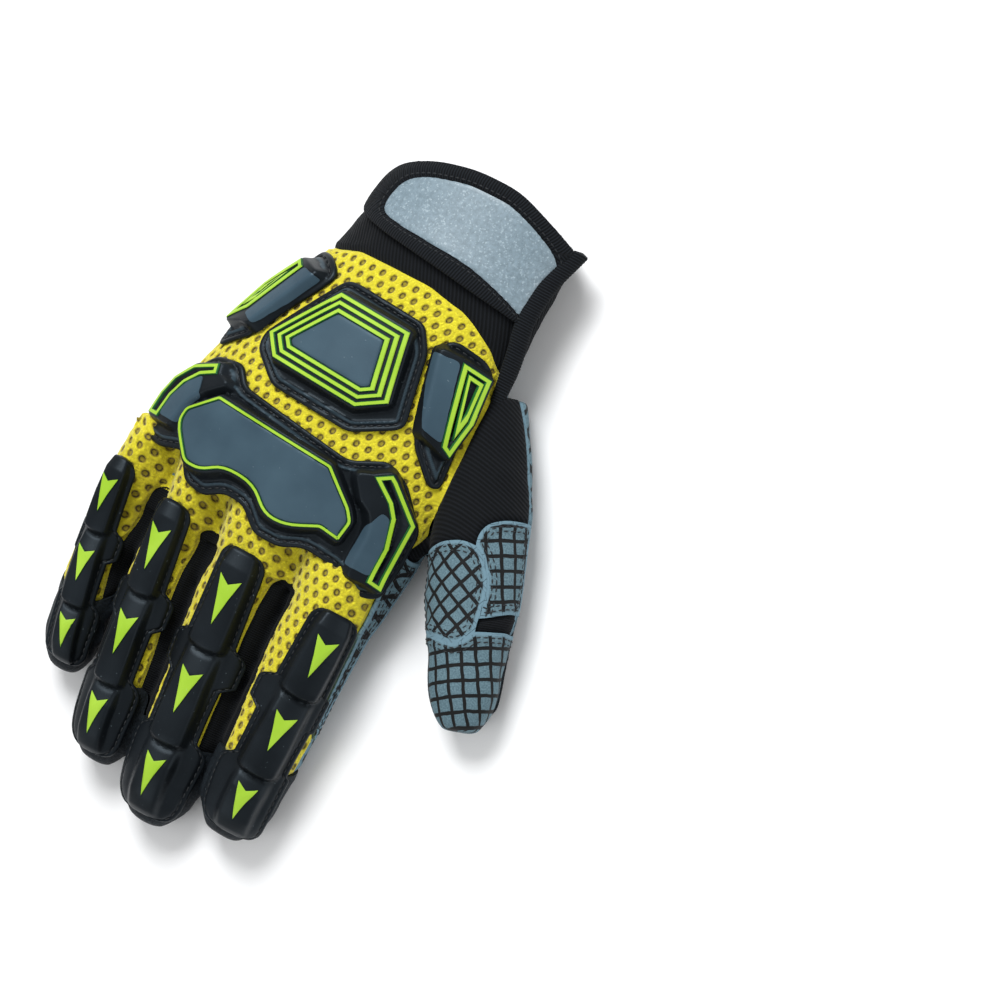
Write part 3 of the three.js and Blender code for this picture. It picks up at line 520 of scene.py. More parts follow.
def grid_cloth(name, spin):
    # Synthetic suede printed with rounded blocks about 5 mm apart, the black cloth showing between them
    made, tree, shader = new_material(name, 0.75, sheen=0.04, specular=0.25)
    uv = on_piece(tree, 1.0, spin)
    wander = node(tree, "TexNoise", {"Vector": uv, "Scale": 0.22, "Detail": 1})
    push = node(tree, "VectorMath", {0: wander.outputs["Color"], 1: (0.9, 0.9, 0)}, operation="MULTIPLY")
    place = node(tree, "VectorMath", {0: uv, 1: push.outputs["Vector"]}, operation="ADD")
    grid = node(tree, "TexBrick", {"Vector": place.outputs["Vector"], "Scale": 1.0, "Mortar Size": 0.72,
                                   "Mortar Smooth": 0.4, "Brick Width": 5.3, "Row Height": 5.3}, offset=0.0)
    grain = node(tree, "TexNoise", {"Vector": uv, "Scale": 1.6, "Detail": 4})
    block = mixed(tree, faded(tree, grain.outputs["Fac"], 0.35, 0.65), linear("#48606A"), linear("#617B85"))
    colour = mixed(tree, faded(tree, grid.outputs["Fac"], 0.1, 0.55), block, linear("#07090A"))
    border = node(tree, "Attribute", attribute_name="border").outputs["Fac"]
    hem = mixed(tree, faded(tree, border, 1.1, 1.5), linear("#64818F"), colour)
    tree.links.new(hem, shader.inputs["Base Color"])
    first = bumped(tree, shader, faded(tree, grid.outputs["Fac"], 0, 1, 1, 0), 0.5, 0.8)
    bumped(tree, shader, grain.outputs["Fac"], 0.15, 0.6, first)
    return made


def ribbed_knit(name, spin, spacing, colour="#121519"):
    # Elastic knit: matt black yarn in fine ribs
    made, tree, shader = new_material(name, 0.88, sheen=0.03, specular=0.12)
    uv = on_piece(tree, 1.0, spin)
    ribs = node(tree, "TexWave", {"Vector": uv, "Scale": 0.314 / spacing, "Distortion": 0.6, "Detail": 2,
                                  "Detail Scale": 1.5}, wave_profile="SIN")
    fuzz = node(tree, "TexNoise", {"Vector": uv, "Scale": 2.4, "Detail": 4, "Roughness": 0.7})
    base = mixed(tree, faded(tree, ribs.outputs["Fac"], 0.2, 0.9), linear("#07090B"), linear(colour))
    lint = mixed(tree, faded(tree, fuzz.outputs["Fac"], 0.62, 0.8), base, linear("#20262B"))
    tree.links.new(lint, shader.inputs["Base Color"])
    first = bumped(tree, shader, ribs.outputs["Fac"], 0.3, 0.7)
    bumped(tree, shader, fuzz.outputs["Fac"], 0.18, 0.5, first)
    return made


def grip_leather():
    # Synthetic grip leather: near black with a crinkled grain that catches small lights
    made, tree, shader = new_material("grip_leather", 0.62, specular=0.2)
    spot = in_space(tree, 1.0)
    crinkle = node(tree, "TexVoronoi", {"Vector": spot, "Scale": 0.9, "Randomness": 1.0}, feature="SMOOTH_F1")
    grain = node(tree, "TexNoise", {"Vector": spot, "Scale": 1.3, "Detail": 6, "Roughness": 0.7})
    base = mixed(tree, faded(tree, grain.outputs["Fac"], 0.4, 0.75), linear("#12171C"), linear("#262F36"))
    tree.links.new(base, shader.inputs["Base Color"])
    first = bumped(tree, shader, grain.outputs["Fac"], 0.5, 0.8)
    bumped(tree, shader, crinkle.outputs["Distance"], 0.3, 0.6, first)
    return made


def moulded_rubber(name, low, high, rough):
    # Thermoplastic rubber from a satin mould: even colour apart from a painted highlight in slate along a
    # flange's ridge, soft broad gloss, a few dusty specks
    made, tree, shader = new_material(name, rough, specular=0.34, tint="#A9BAC6")
    spot = in_space(tree, 1.0)
    cloud = node(tree, "TexNoise", {"Vector": spot, "Scale": 0.05, "Detail": 3})
    fine = node(tree, "TexNoise", {"Vector": spot, "Scale": 3.0, "Detail": 3})
    dust = node(tree, "TexNoise", {"Vector": spot, "Scale": 0.9, "Detail": 2})
    base = mixed(tree, faded(tree, cloud.outputs["Fac"], 0.3, 0.7), linear(low), linear(high))
    ridge = node(tree, "Attribute", attribute_name="lip").outputs["Fac"]
    # Painted highlight: a slate band along the ridge of a guard's flange
    base = mixed(tree, faded(tree, ridge, 0.15, 0.6), base, linear("#2B3840"))
    dusty = mixed(tree, faded(tree, dust.outputs["Fac"], 0.74, 0.78, 0, 0.35), base, linear("#8FA0A8"))
    tree.links.new(dusty, shader.inputs["Base Color"])
    tree.links.new(faded(tree, cloud.outputs["Fac"], 0.3, 0.7, rough - 0.06, rough + 0.06),
                   shader.inputs["Roughness"])
    bumped(tree, shader, fine.outputs["Fac"], 0.05, 0.5)
    return made


def reflective_fabric():
    # Glass bead cloth: pale blue grey, with painted glints on scattered beads as its fine sparkle
    made, tree, shader = new_material("reflective_fabric", 0.42, specular=0.6)
    spot = in_space(tree, 1.0)
    beads = node(tree, "TexVoronoi", {"Vector": spot, "Scale": 1.9}, feature="F1")
    patch = node(tree, "TexNoise", {"Vector": spot, "Scale": 0.6, "Detail": 5, "Roughness": 0.75})
    base = mixed(tree, faded(tree, patch.outputs["Fac"], 0.38, 0.66), linear("#63757F"), linear("#788B96"))
    bright = node(tree, "SeparateColor", {"Color": beads.outputs["Color"]}).outputs["Red"]
    # Painted glints: the brightest beads lightened in the base colour
    painted_bead_glints = mixed(tree, faded(tree, bright, 0.84, 0.98, 0, 0.5), base, linear("#A5B5BE"))
    tree.links.new(painted_bead_glints, shader.inputs["Base Color"])
    bumped(tree, shader, bright, 0.12, 0.4)
    return made


def sewing_thread():
    # Polyester thread: black with a faint gloss along each stitch
    made, tree, shader = new_material("sewing_thread", 0.55, specular=0.4)
    twist = node(tree, "TexNoise", {"Vector": in_space(tree, 1.0), "Scale": 2.0, "Detail": 2})
    base = mixed(tree, twist.outputs["Fac"], linear("#07090B"), linear("#1B2126"))
    tree.links.new(base, shader.inputs["Base Color"])
    return made


def pale_floor():
    # Matt white studio floor
    made, _, shader = new_material("pale_floor", 0.9, specular=0.2)
    shader.inputs["Base Color"].default_value = linear("#F4F5F6")
    return made


YELLOW = yellow_spacer_mesh()
GRID_DIAGONAL = grid_cloth("grid_cloth_diagonal", 45)
GRID_STRAIGHT = grid_cloth("grid_cloth_straight", 8)
CUFF_KNIT = ribbed_knit("cuff_knit", 32, 1.3)
STRETCH_KNIT = ribbed_knit("stretch_knit", 60, 1.2)
SIDE_KNIT = ribbed_knit("side_knit", 90, 0.8)
TAPE_KNIT = ribbed_knit("binding_tape", 0, 1.0, "#191D22")
GRIP = grip_leather()
BLACK_RUBBER = moulded_rubber("black_rubber", "#0C0F12", "#12161A", 0.40)
SLATE_RUBBER = moulded_rubber("slate_rubber", "#324450", "#3B4F5B", 0.40)
LIME_RUBBER = moulded_rubber("lime_rubber", "#8BB227", "#9DC23B", 0.45)
# A darker copy of the lime, put on the steep walls of the lime inlays as painted shade
LIME_WALL_SHADE = moulded_rubber("lime_rubber_edge", "#14481C", "#1F5E24", 0.5)
REFLECTIVE = reflective_fabric()
THREAD = sewing_thread()


def finish(piece, material, slot, *nodes):
    """Gives a piece its material, its body and the nodes that it stands for."""
    if material:
        piece.data.materials.clear()
        piece.data.materials.append(material)
    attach(piece, "root")
    if nodes:
        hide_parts(*nodes)
    return piece


# Outlines of the hand guards, their blocks and their inlays
KNUCKLE_FLANGE = [[-0.21, -0.078], [0.007, -0.066], [0.198, -0.055], [0.30, -0.08], [0.379, -0.064],
                  [0.492, -0.012], [0.503, 0.047], [0.493, 0.094], [0.413, 0.109], [0.333, 0.084],
                  [0.225, 0.08], [0.155, 0.096], [0.069, 0.096], [-0.002, 0.068], [-0.074, 0.066],
                  [-0.137, 0.084], [-0.213, 0.078], [-0.281, 0.041], [-0.376, 0.053], [-0.455, 0.047],
                  [-0.500, 0.012], [-0.492, -0.045], [-0.385, -0.098], [-0.275, -0.104]]
KNUCKLE_CENTRE = [[-0.23, -0.050], [0.166, -0.038], [0.271, 0.002], [0.297, 0.018], [0.293, 0.049],
                  [0.232, 0.045], [0.150, 0.066], [0.078, 0.066], [0.008, 0.037], [-0.094, 0.035],
                  [-0.152, 0.055], [-0.214, 0.055], [-0.312, 0.010], [-0.312, -0.014]]
THUMB_WING = {
    "body": [[0.243, -0.044], [0.279, -0.052], [0.349, -0.028], [0.376, -0.012], [0.404, 0.029],
             [0.412, 0.081], [0.366, 0.083], [0.361, 0.027], [0.350, 0.008], [0.328, -0.007],
             [0.288, -0.018]],
    "loop": [[0.279, -0.052], [0.319, -0.066], [0.339, -0.060], [0.443, -0.018], [0.459, 0.084],
             [0.412, 0.081], [0.404, 0.029], [0.376, -0.012], [0.349, -0.028]],
    "skin": [[0.352, -0.014], [0.376, -0.010], [0.404, 0.029], [0.412, 0.072], [0.347, 0.073],
             [0.343, 0.029], [0.338, 0.012]]}
OUTER_WING = {
    "body": [[-0.287, -0.074], [-0.246, -0.068], [-0.304, -0.046], [-0.336, -0.022], [-0.345, 0.017],
             [-0.395, 0.017], [-0.394, -0.018], [-0.376, -0.042], [-0.339, -0.062]],
    "loop": [[-0.302, -0.089], [-0.287, -0.074], [-0.339, -0.062], [-0.376, -0.042], [-0.394, -0.018],
             [-0.395, 0.017], [-0.445, 0.017], [-0.451, -0.016], [-0.437, -0.044], [-0.386, -0.072]],
    "skin": [[-0.330, 0.012], [-0.328, -0.006], [-0.318, -0.024], [-0.303, -0.036], [-0.328, -0.064],
             [-0.372, -0.044], [-0.394, -0.018], [-0.395, 0.012]]}
HAND_GUARD = [[-0.172, -0.272], [-0.135, -0.276], [0.12, -0.268], [0.186, -0.234], [0.273, -0.133],
              [0.26, -0.121], [0.148, -0.088], [-0.141, -0.096], [-0.268, -0.133], [-0.286, -0.156],
              [-0.266, -0.178]]
HAND_BLOCK = [[-0.123, -0.254], [0.108, -0.248], [0.190, -0.148], [0.121, -0.123], [-0.165, -0.131],
              [-0.228, -0.160]]
THUMB_WEDGE = [[0.200, -0.258], [0.228, -0.268], [0.330, -0.262], [0.368, -0.252], [0.469, -0.078],
               [0.435, -0.072], [0.329, -0.113], [0.296, -0.137]]
THUMB_WEDGE_BLOCK = [[0.207, -0.247], [0.268, -0.247], [0.357, -0.242], [0.400, -0.176], [0.408, -0.121],
                     [0.352, -0.130], [0.316, -0.135]]
THUMB_WEDGE_LOOP = [[0.268, -0.246], [0.357, -0.242], [0.400, -0.176], [0.408, -0.121], [0.372, -0.130]]
THUMB_WEDGE_INNER = [[0.298, -0.2355], [0.347, -0.233], [0.381, -0.178], [0.385, -0.145]]
THUMB_WEDGE_CORE = [[0.315, -0.228], [0.339, -0.2265], [0.363, -0.188], [0.366, -0.175]]
THUMB_WEDGE_FACE = [[0.186, -0.240], [0.263, -0.244], [0.368, -0.133], [0.303, -0.140]]
OUTER_WEDGE = [[-0.350, -0.297], [-0.286, -0.293], [-0.227, -0.277], [-0.217, -0.262], [-0.240, -0.234],
               [-0.292, -0.188], [-0.330, -0.143], [-0.433, -0.109], [-0.460, -0.150], [-0.430, -0.223]]
OUTER_WEDGE_BLOCK = [[-0.335, -0.272], [-0.300, -0.268], [-0.252, -0.262], [-0.330, -0.158],
                     [-0.362, -0.158], [-0.428, -0.150], [-0.405, -0.219]]
OUTER_WEDGE_LOOP = [[-0.335, -0.272], [-0.300, -0.262], [-0.368, -0.176], [-0.428, -0.150],
                    [-0.405, -0.219]]
OUTER_WEDGE_INNER = [[-0.334, -0.250], [-0.370, -0.194], [-0.400, -0.176], [-0.384, -0.214]]
OUTER_WEDGE_CORE = [[-0.350, -0.235], [-0.371, -0.203], [-0.385, -0.194], [-0.376, -0.212]]
OUTER_WEDGE_FACE = [[-0.291, -0.262], [-0.232, -0.256], [-0.316, -0.160], [-0.362, -0.168]]

# Shell: the six tubes melted into one smooth form, then divided into its panels
BODY_CELL = 1.15
PANEL_NODES = ["back_panel", "palm_panel", "cuff", "stretch_panel", "index_strip",
               "thumb_web_patch", "thumb_side_patch", "thumb_band", "thumb_tip",
               "finger_cap_index", "finger_cap_middle", "finger_cap_ring", "finger_cap_little",
               "side_strip_index_middle", "side_strip_middle_ring", "side_strip_ring_little"]


def tube_solid(tube, count, around):
    along = np.linspace(tube.start, tube.end, count)[:, None] + np.zeros((1, around))
    angle = np.linspace(0, 2 * math.pi, around, endpoint=False)[None, :] + np.zeros((count, 1))
    x, z = tube.around(along, angle, 0)
    points = np.stack([x, along, z], 2)
    if tube.turned:
        points = from_thumb(points.reshape(-1, 3)).reshape(points.shape)
    return solid_of("shell", points)


# Creases between the fingers: where each runs, where its side strip starts and how low the cloth dips there
CREASES = {
    "index_middle": dict(line=[[0.178, 0.02], [0.180, 0.117], [0.186, 0.235], [0.201, 0.312], [0.215, 0.42],
                               [0.215, 0.60]], half=4.0, start=34.0, low=17.4),
    "middle_ring": dict(line=[[-0.110, 0.02], [-0.112, 0.111], [-0.096, 0.235], [-0.069, 0.312],
                              [-0.048, 0.41], [-0.048, 0.60]], half=3.2, start=30.5, low=15.5),
    "ring_little": dict(line=[[-0.338, 0.02], [-0.338, 0.088], [-0.332, 0.235], [-0.310, 0.293],
                              [-0.280, 0.36], [-0.280, 0.60]], half=3.3, start=25.0, low=12.5)}
CUFF_EDGE = np.array([[-0.60, -0.40], [-0.20, -0.425], [-0.085, -0.452], [0.02, -0.473], [0.12, -0.486],
                      [0.30, -0.488], [0.38, -0.478], [0.46, -0.462], [0.90, -0.44]])
CUFF_TUCK = 2.2                              # the cuff ends this far under the strap's top edge
BORDER_REACH = 15.0                          # distances from a panel's edge are kept up to this one


def crease_at(crease, along):
    line = np.array(crease["line"])
    return np.interp(along, line[:, 1] * GLOVE_LENGTH, line[:, 0] * HAND_WIDTH)


def cuff_edge_at(across):
    return np.interp(across, CUFF_EDGE[:, 0] * HAND_WIDTH, CUFF_EDGE[:, 1] * GLOVE_LENGTH) + CUFF_TUCK


def whole_shell():
    solids = [tube_solid(HAND_TUBE, 90, 72), tube_solid(THUMB_TUBE, 60, 40)]
    solids += [tube_solid(tube, 60, 36) for tube in FINGER_TUBES.values()]
    shell = fused(solids, BODY_CELL, 2)
    sink_creases(shell)
    modified(shell, "SMOOTH", factor=0.5, iterations=8)
    round_tips(shell)
    cut_cuff(shell)
    return shell


def round_tips(shell):
    """The fingertips are rounded further than the rest."""
    points = points_of(shell)
    every = edges_of(shell)
    degree = np.bincount(every.ravel(), minlength=len(points))[:, None]
    share = np.zeros(len(points))
    names = nearest_finger(points)
    for name, tube in FINGER_TUBES.items():
        share = np.where(names == name, step_up(tube.end - 13, tube.end - 5, points[:, 1]), share)
    along_thumb = to_thumb(points)
    near_thumb = (np.abs(along_thumb[:, 0]) < THUMB_WIDTH) & (along_thumb[:, 1] > THUMB_LENGTH - 16)
    share = np.where(near_thumb, step_up(THUMB_LENGTH - 14, THUMB_LENGTH - 6, along_thumb[:, 1]), share)
    before = points.copy()
    for _ in range(14):
        points += (neighbour_sums(points, every) / degree - points) * (0.6 * share)[:, None]
    points[:, 2] = before[:, 2] * 0.4 + points[:, 2] * 0.6
    move_points(shell, points)


def sink_creases(shell):
    """The cloth dips between the knuckles, down to where each side strip starts."""
    points = points_of(shell)
    for crease in CREASES.values():
        off = (points[:, 0] - crease_at(crease, points[:, 1])) / 5.5
        near = np.exp(-off ** 2) * step_up(crease["start"] - 27, crease["start"], points[:, 1])
        near *= 1 - step_up(38, 50, points[:, 1])
        drop = np.maximum(points[:, 2] - crease["low"], 0)
        points[:, 2] -= near * drop * 0.9
    move_points(shell, points)


def cut_cuff(shell):
    """The wrist end is opened along the curve of the cuff's edge."""
    points = faces_of(shell, "center") / MM + ORIGIN
    beyond = -points[:, 1] < cuff_edge_at(points[:, 0])
    drop_faces(shell, beyond)
    rim = np.unique(rim_of(shell))
    points = points_of(shell)
    points[rim, 1] = cuff_edge_at(points[rim, 0])
    move_points(shell, points)


def drop_faces(piece, unwanted):
    only(piece)
    bpy.ops.object.mode_set(mode="EDIT")
    bpy.ops.mesh.select_mode(type="FACE")
    bpy.ops.mesh.select_all(action="DESELECT")
    bpy.ops.object.mode_set(mode="OBJECT")
    piece.data.polygons.foreach_set("select", unwanted)
    bpy.ops.object.mode_set(mode="EDIT")
    bpy.ops.mesh.delete(type="FACE")
    bpy.ops.object.mode_set(mode="OBJECT")


def node_tree_of(names):
    """A search tree over the triangles of several nodes, and which node each triangle is of."""
    points, faces, owner = [], [], []
    for i, name in enumerate(names):
        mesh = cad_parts[name].data
        base = len(points)
        points += [v.co.copy() for v in mesh.vertices]
        faces += [[base + k for k in p.vertices] for p in mesh.polygons]
        owner += [i] * len(mesh.polygons)
    return BVHTree.FromPolygons(points, faces), np.array(owner)


def face_pairs(mesh):
    """For each edge between two faces: the edge and its two faces."""
    edge = np.empty(len(mesh.loops), int)
    mesh.loops.foreach_get("edge_index", edge)
    sides = np.empty(len(mesh.polygons), int)
    mesh.polygons.foreach_get("loop_total", sides)
    face = np.repeat(np.arange(len(mesh.polygons)), sides)
    order = np.argsort(edge, kind="stable")
    edge, face = edge[order], face[order]
    pair = np.nonzero(edge[1:] == edge[:-1])[0]
    return edge[pair], face[pair], face[pair + 1]


def panel_labels(piece):
    tree, owner = node_tree_of(PANEL_NODES)
    centres = faces_of(piece, "center")
    label = np.array([owner[tree.find_nearest(spot)[2]] for spot in centres])
    across, along, up = (centres / MM + ORIGIN).T
    along = -along
    for name, crease in CREASES.items():
        strip_label, back_label = PANEL_NODES.index("side_strip_" + name), PANEL_NODES.index("back_panel")
        off = np.abs(across - crease_at(crease, along))
        late = along < crease["start"] + 0.6 * off ** 2 / crease["half"]
        label[(label == strip_label) & late & (up > seam_at(along))] = back_label
    _, a, b = face_pairs(piece.data)
    for _ in range(4):
        votes = np.zeros((len(label), len(PANEL_NODES)))
        np.add.at(votes, (a, label[b]), 1)
        np.add.at(votes, (b, label[a]), 1)
        strongest = votes.argmax(1)
        label = np.where(votes.max(1) >= 3, strongest, label)
    return label


def straighten_borders(piece, label, rounds=14):
    """Borders between panels run as smooth lines across the mesh."""
    edge, a, b = face_pairs(piece.data)
    border = edges_of(piece)[edge[label[a] != label[b]]]
    uses = np.bincount(border.ravel(), minlength=len(piece.data.vertices))
    plain, free = uses == 2, uses == 0
    points = points_of(piece)
    every = edges_of(piece)
    degree = np.bincount(every.ravel(), minlength=len(points))[:, None]
    for _ in range(rounds):
        points[plain] = points[plain] * 0.5 + neighbour_sums(points, border)[plain] * 0.25
    for _ in range(3):
        middle = neighbour_sums(points, every) / degree
        points[free] = points[free] * 0.5 + middle[free] * 0.5
    move_points(piece, points)


def border_distance(piece, steps=10):
    """How far each point lies from the piece's edge, measured along the mesh."""
    pairs, rim = edges_of(piece), rim_of(piece)
    points = points_of(piece)
    length = np.linalg.norm(points[pairs[:, 0]] - points[pairs[:, 1]], axis=1)
    distance = np.full(len(points), BORDER_REACH)
    distance[rim.ravel()] = 0
    for _ in range(steps):
        np.minimum.at(distance, pairs[:, 0], distance[pairs[:, 1]] + length)
        np.minimum.at(distance, pairs[:, 1], distance[pairs[:, 0]] + length)
    return distance


def keep_values(piece, name, values):
    attribute = piece.data.attributes.new(name, "FLOAT", "POINT")
    attribute.data.foreach_set("value", np.asarray(values, np.float32))


def keep_uv(piece, way, along):
    """A UV map in millimetres from the way round and along at each point."""
    corners = np.empty(len(piece.data.loops), int)
    piece.data.loops.foreach_get("vertex_index", corners)
    layer = piece.data.uv_layers.new(name="cloth")
    layer.data.foreach_set("uv", np.stack([way, along], 1)[corners].astype(np.float32).ravel())


def nearest_finger(points):
    """The finger whose middle line is nearest to each point."""
    names = list(FINGERS)
    off = np.array([np.abs(points[:, 0] - FINGER_TUBES[n].section(points[:, 1])[0]) for n in names])
    return np.array(names)[off.argmin(0)]


def way_on_shell(points):
    """The way round and along of points of the hand and the fingers, run together at the knuckles."""
    way, along = HAND_TUBE.flatten(points)
    names = nearest_finger(points)
    share = step_up(8, 34, points[:, 1])
    for name, tube in FINGER_TUBES.items():
        mine = (names == name) & (share > 0)
        own, _ = tube.flatten(points[mine])
        crest = tube.section(points[mine][:, 1])[0]
        way[mine] = way[mine] * (1 - share[mine]) + (own + crest) * share[mine]
    webs = (step_up(-2, 18, points[:, 1]) * (1 - step_up(44, 58, points[:, 1]))
            * step_up(9.5, 13.5, points[:, 2]))
    way = way * (1 - webs) + points[:, 0] * 1.06 * webs
    return way, along


def ripple(points, size, seed):
    """A soft wandering value between about -1 and 1."""
    x, y, z = (points / size).T
    return (np.sin(x * 1.7 + y * 0.9 + seed) * np.sin(y * 1.9 - x * 0.6 + z * 1.3 + 2 * seed)
            + 0.5 * np.sin(x * 3.1 - y * 2.3 + z * 1.1 + seed * 3) * np.sin(y * 3.7 + x * 1.9 + seed)) / 1.5


def sewn_edge(distance, kind):
    if kind == "turned":
        return -0.9 * (1 - step_up(0, 2.2, distance))
    if kind == "hem":
        return 0.45 - 0.45 * step_up(3.4, 4.6, distance) + 0.12 * np.exp(-((distance - 0.5) / 0.5) ** 2)
    return 0.35 * (1 - step_up(3.0, 5.0, distance))


# How each panel is finished: its edge, its thickness, how far it ripples, its material and slot
PANEL_FINISH = {
    "back_panel": ("turned", 1.6, 0.25, YELLOW, "yellow_mesh"),
    "palm_panel": ("turned", 1.4, 0.35, GRID_DIAGONAL, "grid_cloth"),
    "cuff": ("turned", 1.8, 0.45, CUFF_KNIT, "black_knit"),
    "stretch_panel": ("turned", 1.4, 0.5, STRETCH_KNIT, "black_knit"),
    "index_strip": ("hem", 1.2, 0.1, GRID_DIAGONAL, "grid_cloth"),
    "thumb_web_patch": ("hem", 1.4, 0.55, GRID_DIAGONAL, "grid_cloth"),
    "thumb_side_patch": ("hem", 1.4, 0.45, GRID_STRAIGHT, "grid_cloth"),
    "thumb_band": ("turned", 1.2, 0.1, SIDE_KNIT, "black_knit"),
    "thumb_tip": ("hem", 1.4, 0.4, GRID_STRAIGHT, "grid_cloth"),
    "finger_cap": ("cap", 1.4, 0.3, GRIP, "black_grip"),
    "side_strip": ("turned", 1.2, 0.2, SIDE_KNIT, "black_knit")}
EYELET = {"across": 4.9, "along": 4.1, "half_across": 1.15, "half_along": 1.35, "depth": 0.75}


def pierce_eyelets(piece, way, along):
    """Staggered eyelets pressed into the spacer mesh."""
    points, normals = points_of(piece), normals_of(piece)
    row = np.rint(along / EYELET["along"])
    shift = np.where(row % 2 == 0, 0, 0.5)
    column = np.rint(way / EYELET["across"] - shift) + shift
    across_off = (way - column * EYELET["across"]) / EYELET["half_across"]
    along_off = (along - row * EYELET["along"]) / EYELET["half_along"]
    reach = np.hypot(across_off, along_off)
    eyelet = 1 - step_up(0.3, 1.4, reach)
    rim = 0.18 * np.exp(-((reach - 1.6) / 0.4) ** 2)
    border = np.empty(len(way), np.float32)
    piece.data.attributes["border"].data.foreach_get("value", border)
    open_cloth = step_up(1.0, 2.2, border)
    move_points(piece, points + normals * ((rim - EYELET["depth"] * eyelet) * open_cloth)[:, None])
    # The same value darkens the eyelets in the mesh's shader as painted shade
    keep_values(piece, "eyelet", eyelet * open_cloth)


def tucked(points, spots):
    """Cloth under a guard is pressed flat below it."""
    way, along = HAND_TUBE.flatten(points)
    flat = np.column_stack([way, along])
    reach = np.zeros(len(points))
    for flange in (KNUCKLE_FLANGE, HAND_GUARD, THUMB_WEDGE, OUTER_WEDGE):
        edge = sized(flange)
        deep = np.where(inside(flat, edge), distance_to(flat, edge), 0)
        reach = np.maximum(reach, step_up(0, 2.5, deep))
    reach *= points[:, 2] > seam_at(along)
    seat = HAND_TUBE.place(np.column_stack([way, along, np.full(len(way), -0.7)]))
    over = np.maximum(spots[:, 2] - seat[:, 2], 0)
    spots[:, 2] -= over * reach
    return spots


def finish_panel(piece, name):
    kind = name
    if name.startswith("side_strip"):
        kind = "side_strip"
    elif name.startswith("finger_cap"):
        kind = "finger_cap"
    edge, thickness, wave, material, slot = PANEL_FINISH[kind]
    if kind == "back_panel":
        modified(piece, "SUBSURF", levels=1, render_levels=1)
    distance = border_distance(piece, 14)
    points, normals = points_of(piece), normals_of(piece)
    if name.startswith("thumb"):
        way, along = THUMB_TUBE.flatten(points)
    else:
        way, along = way_on_shell(points)
    move = sewn_edge(distance, edge) + wave * ripple(points, 9.0, len(name)) * step_up(0, 5, distance)
    keep = points + normals * move[:, None]
    if kind in ("back_panel", "side_strip"):
        keep = tucked(points, keep)
    keep[:, 2] = np.maximum(keep[:, 2], 1.3)
    move_points(piece, keep)
    keep_values(piece, "border", np.minimum(distance, BORDER_REACH))
    keep_uv(piece, way, along)
    if kind == "back_panel":
        pierce_eyelets(piece, way, along)
    outer = BVHTree.FromPolygons([v.co.copy() for v in piece.data.vertices],
                                 [tuple(p.vertices) for p in piece.data.polygons])
    loops = border_loops(piece)
    modified(piece, "SOLIDIFY", thickness=thickness * MM, offset=-1)
    smooth_shaded(piece, 50)
    finish(piece, material, slot, name)
    return outer, loops


def border_loops(piece):
    """The piece's edge as closed runs of points in order, longest first."""
    nexts = {}
    for a, b in rim_of(piece):
        nexts.setdefault(int(a), []).append(int(b))
        nexts.setdefault(int(b), []).append(int(a))
    points, normals = points_of(piece), normals_of(piece)
    loops, seen = [], set()
    for start in nexts:
        if start in seen:
            continue
        run, here = [start], start
        seen.add(start)
        while True:
            onward = [k for k in nexts[here] if k not in seen]
            if not onward:
                break
            here = onward[0]
            seen.add(here)
            run.append(here)
        if len(run) > 8:
            loops.append((points[run], normals[run]))
    return sorted(loops, key=lambda loop: -len(loop[0]))


def make_panels():
    shell = whole_shell()
    label = panel_labels(shell)
    straighten_borders(shell, label)
    for name in PANEL_NODES:
        shell.data.materials.append(bpy.data.materials.new("label_" + name))
    shell.data.polygons.foreach_set("material_index", label.astype(np.int32))
    body = copied(shell)
    only(shell)
    bpy.ops.object.mode_set(mode="EDIT")
    bpy.ops.mesh.separate(type="MATERIAL")
    bpy.ops.object.mode_set(mode="OBJECT")
    panels = {}
    for piece in list(bpy.context.selected_objects):
        slot = piece.data.materials[piece.data.polygons[0].material_index]
        panels[slot.name.removeprefix("label_")] = piece
    for name, piece in panels.items():
        piece.name = "cloth_" + name
        piece.data.materials.clear()
    return body, panels


# Stitches
def thread_bead(length, radius):
    bpy.ops.object.select_all(action="DESELECT")
    bpy.ops.mesh.primitive_uv_sphere_add(segments=6, ring_count=4, radius=1)
    bead = bpy.context.object
    flat = np.empty(len(bead.data.vertices) * 3)
    bead.data.vertices.foreach_get("co", flat)
    points = flat.reshape(-1, 3)[:, [2, 0, 1]] * (length / 2, radius, radius)
    faces = [tuple(p.vertices) for p in bead.data.polygons]
    bpy.data.objects.remove(bead)
    return points, faces


def along_run(values, way, spots):
    """The points or normals of a run at given distances along it."""
    return np.stack([np.interp(spots, way, values[:, k]) for k in range(3)], 1)


def stitches(name, runs, pitch=3.0, length=2.2, radius=0.38):
    """Rows of stitches along runs of points with normals, as one piece."""
    bead, bead_faces = thread_bead(length, radius)
    points, faces = [], []
    for run, normals in runs:
        steps = np.linalg.norm(np.diff(run, axis=0), axis=1)
        way = np.concatenate([[0], np.cumsum(steps)])
        if way[-1] < pitch:
            continue
        spots = np.arange(pitch / 2, way[-1], pitch)
        centre, up = along_run(run, way, spots), along_run(normals, way, spots)
        ahead = along_run(run, way, spots + 0.4) - along_run(run, way, spots - 0.4)
        ahead /= np.linalg.norm(ahead, axis=1)[:, None] + 1e-9
        side = np.cross(up, ahead)
        side /= np.linalg.norm(side, axis=1)[:, None] + 1e-9
        up = np.cross(ahead, side)
        for c, a, s, u in zip(centre, ahead, side, up):
            base = len(points) * len(bead)
            points.append(c + bead[:, [0]] * a + bead[:, [1]] * s + bead[:, [2]] * u)
            faces += [tuple(k + base for k in face) for face in bead_faces]
    mesh = bpy.data.meshes.new(name)
    cloud = (np.concatenate(points) * (1, -1, 1) - ORIGIN) * MM
    mesh.from_pydata(cloud.tolist(), [], faces)
    piece = bpy.data.objects.new(name, mesh)
    bpy.context.collection.objects.link(piece)
    in_edit(piece, outward)
    smooth_shaded(piece, 60)
    return finish(piece, THREAD, "black_knit")


